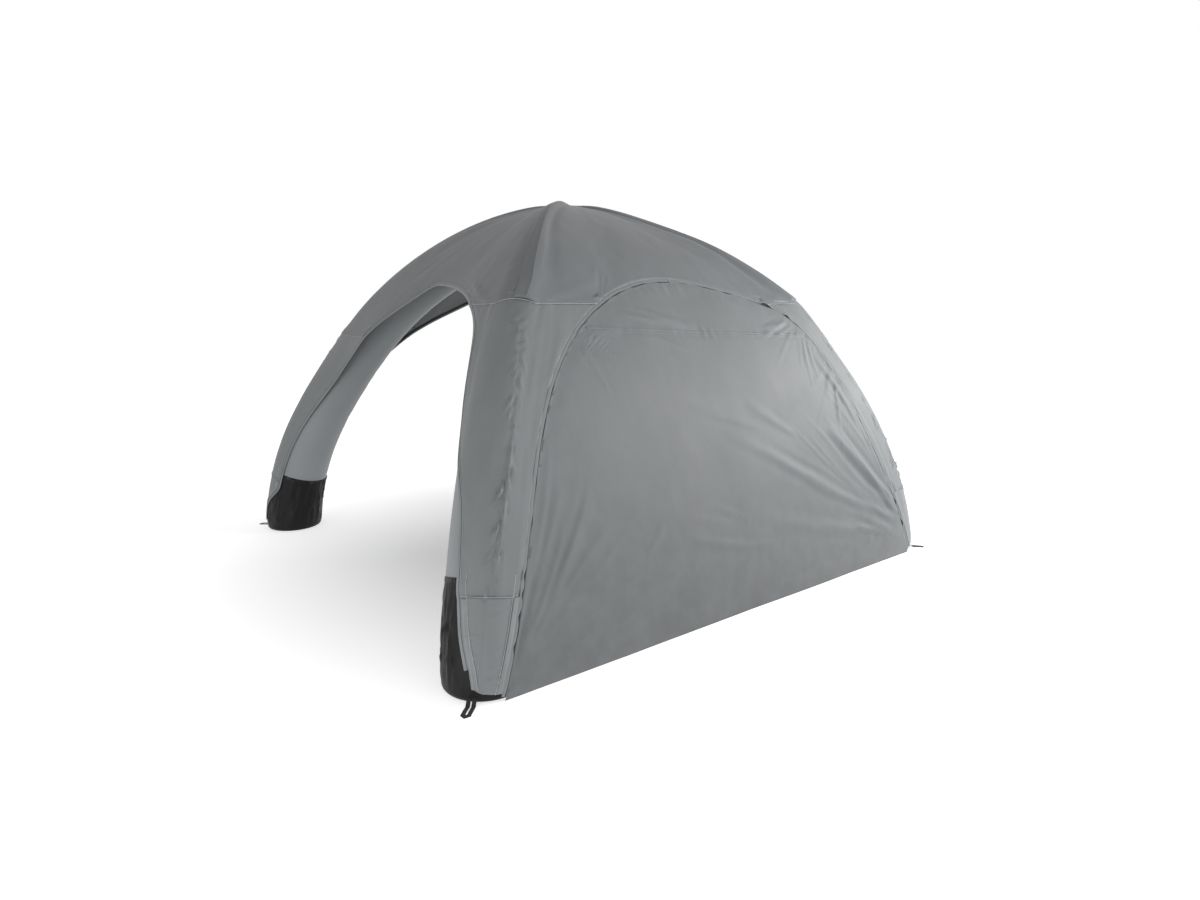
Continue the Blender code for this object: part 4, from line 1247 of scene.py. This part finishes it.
def whole_arch(side, offset):
    first, last = half_kinds(side)
    halves = arch_line(last, offset, -1.0), arch_line(first, offset, 1.0)[-2::-1]
    return on_side(side, np.concatenate(halves))


def make_arch_edge(side):
    """Folded tape along an open archway, a black zip half behind it, and the zip's coil."""
    inner, outer = whole_arch(side, 0.0), whole_arch(side, TAPE_WIDTH + 0.004)
    tape = lay_ribbon("arch_tape_" + side, inner, outer, 0.0040, 0.0030, SKIN_TAPE)
    dress(tape, TAPE_SLOT, "arch_binding_" + side)
    zip_in, zip_out = whole_arch(side, 0.015), whole_arch(side, 0.038)
    dress(lay_ribbon("arch_zip_" + side, zip_in, zip_out, 0.0002, 0.0022, DARK_TAPE), TAPE_SLOT)
    teeth = whole_arch(side, 0.0185)
    out = facing_out(unit(np.cross(np.gradient(teeth, axis=0), outer - inner)), teeth)
    dress(lay_piping("arch_coil_" + side, teeth + out * 0.0078, ARCH_COIL, ZIP_COIL), TAPE_SLOT)


# Places along each half of the wall's zip, from its foot up, where the flap stands open.
ZIP_SLITS = {"front": (0.08, 0.13, 0.165, 0.195), "back": (0.08, 0.14, 0.655, 0.71, 0.72)}

# Lines of the wall's zip, by how far outwards they lie from the archway's edge: its tape's inner edge, its
# teeth, the inner edge of the flap over it, and both edges of the wall's rolled edge.
ZIP_TAPE_IN, ZIP_TEETH, ZIP_FLAP_IN, WALL_EDGE_IN, WALL_EDGE_OUT = -0.006, 0.006, 0.0068, -0.011, 0.0036

# One tooth of the zip, a block that narrows upwards, and how far it is to the next one.
TOOTH_STEP, TOOTH_HALF_LENGTH, TOOTH_HALF_WIDTH, TOOTH_HEIGHT = 0.0045, 0.0016, 0.0031, 0.0024
TOOTH_CORNERS = ((-1, -1, 0), (1, -1, 0), (1, 1, 0), (-1, 1, 0),
                 (-0.7, -0.8, 1), (0.7, -0.8, 1), (0.7, 0.8, 1), (-0.7, 0.8, 1))
TOOTH_FACES = ((0, 3, 2, 1), (4, 5, 6, 7), (0, 1, 5, 4), (1, 2, 6, 5), (2, 3, 7, 6), (3, 0, 4, 7))


def make_wall_zip(end, sign):
    """Zip along half of the wall's arch: its dark tape, the coil, and the rolled edges on both sides."""
    def line(offset):
        return on_side("right", arch_line(WALL_KINDS[sign], offset, sign, 260))

    tape = lay_ribbon("zip_tape_" + end, line(ZIP_TAPE_IN), line(TAPE_WIDTH), 0.0013, 0.0016, DARK_TAPE)
    dress(tape, TAPE_SLOT, "wall_zip_" + end)
    teeth_line = line(ZIP_TEETH)
    along = unit(np.gradient(teeth_line, axis=0))
    side = unit(line(2.0 * ZIP_TEETH) - teeth_line)
    up = facing_out(np.cross(along, side), teeth_line)
    length = path_length(teeth_line)
    places = np.arange(0.02, length[-1] - 0.004, TOOTH_STEP)

    def pick(rows):
        return np.stack([np.interp(places, length, rows[:, axis]) for axis in range(3)], axis=1)

    centre, along, side, up = pick(teeth_line), pick(along), pick(side), pick(up)
    sway = np.where(np.arange(len(places)) % 2, 0.0011, -0.0011)[:, None]
    corners = []
    for a, b, c in TOOTH_CORNERS:
        aside = side * (sway + TOOTH_HALF_WIDTH * b)
        corners.append(centre + along * (TOOTH_HALF_LENGTH * a) + aside + up * (0.0030 + TOOTH_HEIGHT * c))
    points = np.stack(corners, axis=1)
    faces = (np.array(TOOTH_FACES)[None] + 8 * np.arange(len(places))[:, None, None]).reshape(-1, 4)
    teeth = add_piece("zip_coil_" + end, points, faces, ZIP_COIL, rounded=False)
    turn_outwards(teeth)
    dress(teeth, TAPE_SLOT)
    seed = 31 if sign < 0.0 else 32
    at = np.linspace(0.0, 1.0, 260)
    wander, ripple = noise(seed, at * 34.0), noise(seed + 2, at * 80.0)
    open_gap = sum(hump(at, place, 0.008) for place in ZIP_SLITS[end])
    flap_in, flap_out = line(ZIP_FLAP_IN), line(TAPE_WIDTH + 0.003)
    flap_in = flap_in + (flap_out - flap_in) * (0.10 * wander + 0.04 * ripple + 0.55 * open_gap)[:, None]
    lift = 0.0036 + 0.0008 * (1.0 + ripple) + 0.005 * open_gap
    flap = lay_ribbon("zip_flap_" + end, flap_in, flap_out, lift, 0.0018, SKIN_CLOTH, crown=0.8)
    dress(flap, TAPE_SLOT)
    edge_out = line(WALL_EDGE_OUT)
    edge_out = edge_out + (line(0.0) - edge_out) * (0.9 * noise(seed + 4, at * 46.0))[:, None]
    edge_in = line(WALL_EDGE_IN)
    wall_edge = lay_ribbon("wall_tape_" + end, edge_in, edge_out, 0.0040, 0.0016, WALL_CLOTH, crown=0.8)
    dress(wall_edge, TAPE_SLOT)


def make_ridge_tape(corner):
    """Felled seam over a ridge, from the hem to the crown."""
    hem, hem_height = hem_of(corner)
    station = mix(hem - 0.004, RIDGE_TAPE_END, np.linspace(0.0, 1.0, 130))
    height = tube_point(station, 0.0, SKIN_OUT)[..., 2]
    shift = seam_shift(height) * (1.0 if CORNERS[corner][0] > 0 else SLACK_SHIFT)
    radius = skin_radius(station)
    edges = []
    for aside in (-RIDGE_TAPE_HALF, RIDGE_TAPE_HALF):
        edges.append(on_leg(corner, True, tube_point(station, (shift + aside) / radius, SKIN_OUT)))
    rows = ((station - station[0]) / (1.0 - station[0])) ** (1.0 / ROW_POWER)
    lift = SKIN_LIFT + 0.0006 + hem_rise(height, hem_height)
    lift = lift + RIDGE_PEAK * crown_fade(rows)
    tape = lay_ribbon("ridge_seam_" + corner, *edges, lift, 0.0016, SKIN_CLOTH)
    return dress(tape, TAPE_SLOT)


def hem_line(corner, station, lift):
    """Points of a line across a leg's skin at a station, from one archway's edge to the other."""
    shares = np.linspace(-1.0, 1.0, 90)
    points, _, _ = leg_grid(corner, np.array([[station - 0.002], [station], [station + 0.002]]), shares)
    normal = grid_normals(points)
    return points[1] + normal[1] * lift


def make_hem(corner):
    hem, _ = hem_of(corner)
    low, high = hem_line(corner, hem - 0.0050, 0.0), hem_line(corner, hem + 0.0035, 0.0)
    band = lay_ribbon("hem_tape_" + corner, low, high, HEM_LIFT + 0.0006, 0.0014, ROOF_CLOTH)
    dress(band, TAPE_SLOT)
    lip = hem_line(corner, hem - 0.0056, HEM_LIFT + 0.0014)
    dress(lay_piping("hem_piping_" + corner, lip, HEM_CORD, PIPING_CLOTH), TAPE_SLOT)


def make_patch_tapes(corner):
    """Reinforcing tape with piping along both edges of a leg's lower part, and the seam across its top."""
    for end, faces_x in (("y", False), ("x", True)):
        kind = leg_kind(corner, faces_x)
        low = patch_foot(corner, cover_reach(kind, 0.02) * (1.0 if faces_x else -1.0))
        stations = np.linspace(float(low), PATCH_TOP + 0.028, 80)
        reach = cover_reach(kind, stations)
        inner, outer = (on_leg(corner, faces_x, skin_point(kind, stations, reach - inset))
                        for inset in PATCH_TAPE)
        taped = stations < PATCH_TOP + 0.0015
        name = f"patch_tape_{corner}_{end}"
        dress(lay_ribbon(name, inner[taped], outer[taped], 0.0080, 0.0022, SKIN_TAPE), TAPE_SLOT)
        cord = inner + unit(inner * np.array([1.0, 1.0, 0.0])) * 0.0092
        dress(lay_piping(f"patch_piping_{corner}_{end}", cord, PATCH_CORD, PIPING_CLOTH), TAPE_SLOT)
    cord = hem_line(corner, PATCH_TOP + 0.0033, 0.0090)[3:-3]
    dress(lay_piping("patch_seam_" + corner, cord, PATCH_SEAM_CORD, PIPING_CLOTH), TAPE_SLOT)


def make_wall_seam():
    """Felled seam across the wall, lying on its cloth."""
    level = np.linspace(-WALL_SEAM_HALF, WALL_SEAM_HALF, 5)[:, None]
    share = np.linspace(-1.0, 1.0, 200)[None, :]
    offset = share * wall_half(share, wall_seam_height(share * 1.12), -0.012)
    height = wall_seam_height(offset) + level
    local = skin_at_width("zipped", station_at(height), offset + 0.0 * height)
    edge = np.abs(level) / WALL_SEAM_HALF
    push = wall_push(offset + 0.0 * height, height) + CLOTH + 0.0006 - 0.0006 * edge**4
    flat = np.stack([level + 0.5 * TAPE_WIDTH + 0.0 * offset, offset + 0.0 * level], axis=-1)
    return dress(add_cloth("wall_seam", on_side("right", local), push, WALL_CLOTH, flat), TAPE_SLOT)


def make_anchor_loop(corner):
    """Black webbing folded to a mitred point, its two runs side by side with a slot between them."""
    strap, slot, thick = 0.0235, 0.006, 0.0019
    shoulder = LOOP_LENGTH - LOOP_POINT
    shapes = []
    for sign in (-1.0, 1.0):
        inner, outer = sign * 0.5 * slot, sign * (0.5 * slot + strap)
        run = np.linspace(-0.004, shoulder, 40)
        wave = 0.0012 + 0.0010 * np.sin(run * 40.0 + sign) + 0.034 * (1.0 - ramp(-0.004, 0.030, run))
        left = points_of(run, inner, wave)
        right = points_of(run, outer, wave)
        shapes.append(("run", left, right, 0.0))
    aside = np.linspace(-1.0, 1.0, 17)
    half = 0.5 * slot + strap
    back = points_of(shoulder - 0.013, aside * half, 0.0026)
    front = points_of(shoulder + (LOOP_POINT - 0.001) * (1.0 - np.abs(aside)), aside * half, 0.0022)
    shapes.append(("tip", back, front, 0.0008))
    sign_x, sign_y = CORNERS[corner]
    start = REACH + FOOT_RADIUS + 0.0071
    turn = math.atan2(sign_y, sign_x)
    place = Matrix.Translation((sign_x * start / math.sqrt(2.0), sign_y * start / math.sqrt(2.0), 0.0))
    place = np.array(place @ Matrix.Rotation(turn, 4, "Z"))
    for number, (kind, left, right, lift) in enumerate(shapes):
        lines = [line @ place[:3, :3].T + place[:3, 3] for line in (left, right)]
        item = lay_ribbon(f"loop_{kind}_{corner}_{number}", *lines, lift, thick, WEBBING, crown=0.1)
        dress(item, "webbing", *(["anchor_loop_" + corner] if number == 0 else []))


# The way the valve faces, how far its flange lies under the middle of its solid, and its cap's count of ribs.
VALVE_WAY = Vector((1.0, -1.0, 0.0))
VALVE_SINK = 0.0068
VALVE_RIBS = 28

# The valve's profile from its axis outwards and back, as radius and height: the flange, the seat and the cap.
VALVE_PROFILE = (
    (0.0, 0.0), (0.031, 0.0), (0.031, 0.0022), (0.0295, 0.0032), (0.0245, 0.0036), (0.0238, 0.0060),
    (0.0220, 0.0066), (0.0215, 0.0118), (0.0200, 0.0132), (0.0120, 0.0138), (0.0110, 0.0130), (0.0, 0.0130),
)
# A rib of the cap, from its foot up: radius, half width and height.
VALVE_RIB = ((0.0205, 0.0009, 0.0068), (0.0228, 0.0006, 0.0070), (0.0224, 0.0006, 0.0112),
             (0.0200, 0.0009, 0.0120))


def add_valve_part(name, seat, axis, points, edges, faces):
    """Part of the valve, placed on its seat and turned to its axis."""
    mesh = bpy.data.meshes.new(name)
    mesh.from_pydata(points, edges, faces)
    mesh.materials.append(VALVE_PLASTIC)
    item = add_object(name, mesh)
    item.rotation_mode = "QUATERNION"
    item.rotation_quaternion = axis.to_track_quat("Z", "Y")
    item.location = seat
    return item


def make_valve():
    """Capped inflation valve: a flanged seat and a ribbed screw cap."""
    low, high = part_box("inflation_valve")
    solid = bpy.data.objects["inflation_valve"].data
    axis = max(solid.polygons, key=lambda face: face.normal.dot(VALVE_WAY)).normal.normalized()
    seat = (Vector(low) + Vector(high)) * 0.5 - axis * VALVE_SINK
    profile = [(radius, 0.0, level) for radius, level in VALVE_PROFILE]
    edges = [(row, row + 1) for row in range(len(profile) - 1)]
    body = add_valve_part("valve_body", seat, axis, profile, edges, [])
    screw = body.modifiers.new("Turn", "SCREW")
    screw.steps = screw.render_steps = 64
    screw.use_merge_vertices = True
    screw.merge_threshold = 0.00005
    screw.use_normal_calculate = True
    screw.use_smooth_shade = True
    round_off = body.modifiers.new("Edges", "BEVEL")
    round_off.width = 0.0004
    round_off.segments = 2
    dress(body, "valve_plastic", "inflation_valve")
    points, faces = [], []
    for number in range(VALVE_RIBS):
        turn = 2.0 * math.pi * number / VALVE_RIBS
        out = Vector((math.cos(turn), math.sin(turn), 0.0))
        side = Vector((-math.sin(turn), math.cos(turn), 0.0))
        first = len(points)
        for radius, half, level in VALVE_RIB:
            for way in (-1.0, 1.0):
                points.append(out * radius + side * half * way + Vector((0.0, 0.0, level)))
        faces += [(first, first + 1, first + 3, first + 2), (first + 2, first + 3, first + 5, first + 4),
                  (first + 4, first + 5, first + 7, first + 6), (first + 6, first + 7, first + 1, first),
                  (first, first + 2, first + 4, first + 6), (first + 1, first + 7, first + 5, first + 3)]
    dress(add_valve_part("valve_ribs", seat, axis, points, [], faces), "valve_plastic")


make_camera()
make_stage()
for number, corner_name in enumerate(CORNERS):
    make_leg_tube(100 + 10 * number, corner_name)
    make_boot(200 + 10 * number, corner_name)
    make_leg_cover(300 + 10 * number, corner_name)
    make_leg_patch(400 + 10 * number, corner_name)
    make_patch_tapes(corner_name)
    make_ridge_tape(corner_name)
    make_hem(corner_name)
    make_anchor_loop(corner_name)
make_crown()
for number, side_name in enumerate(SIDES):
    make_roof_panel(500 + 10 * number, side_name)
for side_name in OPEN_SIDES:
    make_arch_edge(side_name)
make_wall()
make_wall_seam()
make_wall_zip("front", -1)
make_wall_zip("back", 1)
make_valve()
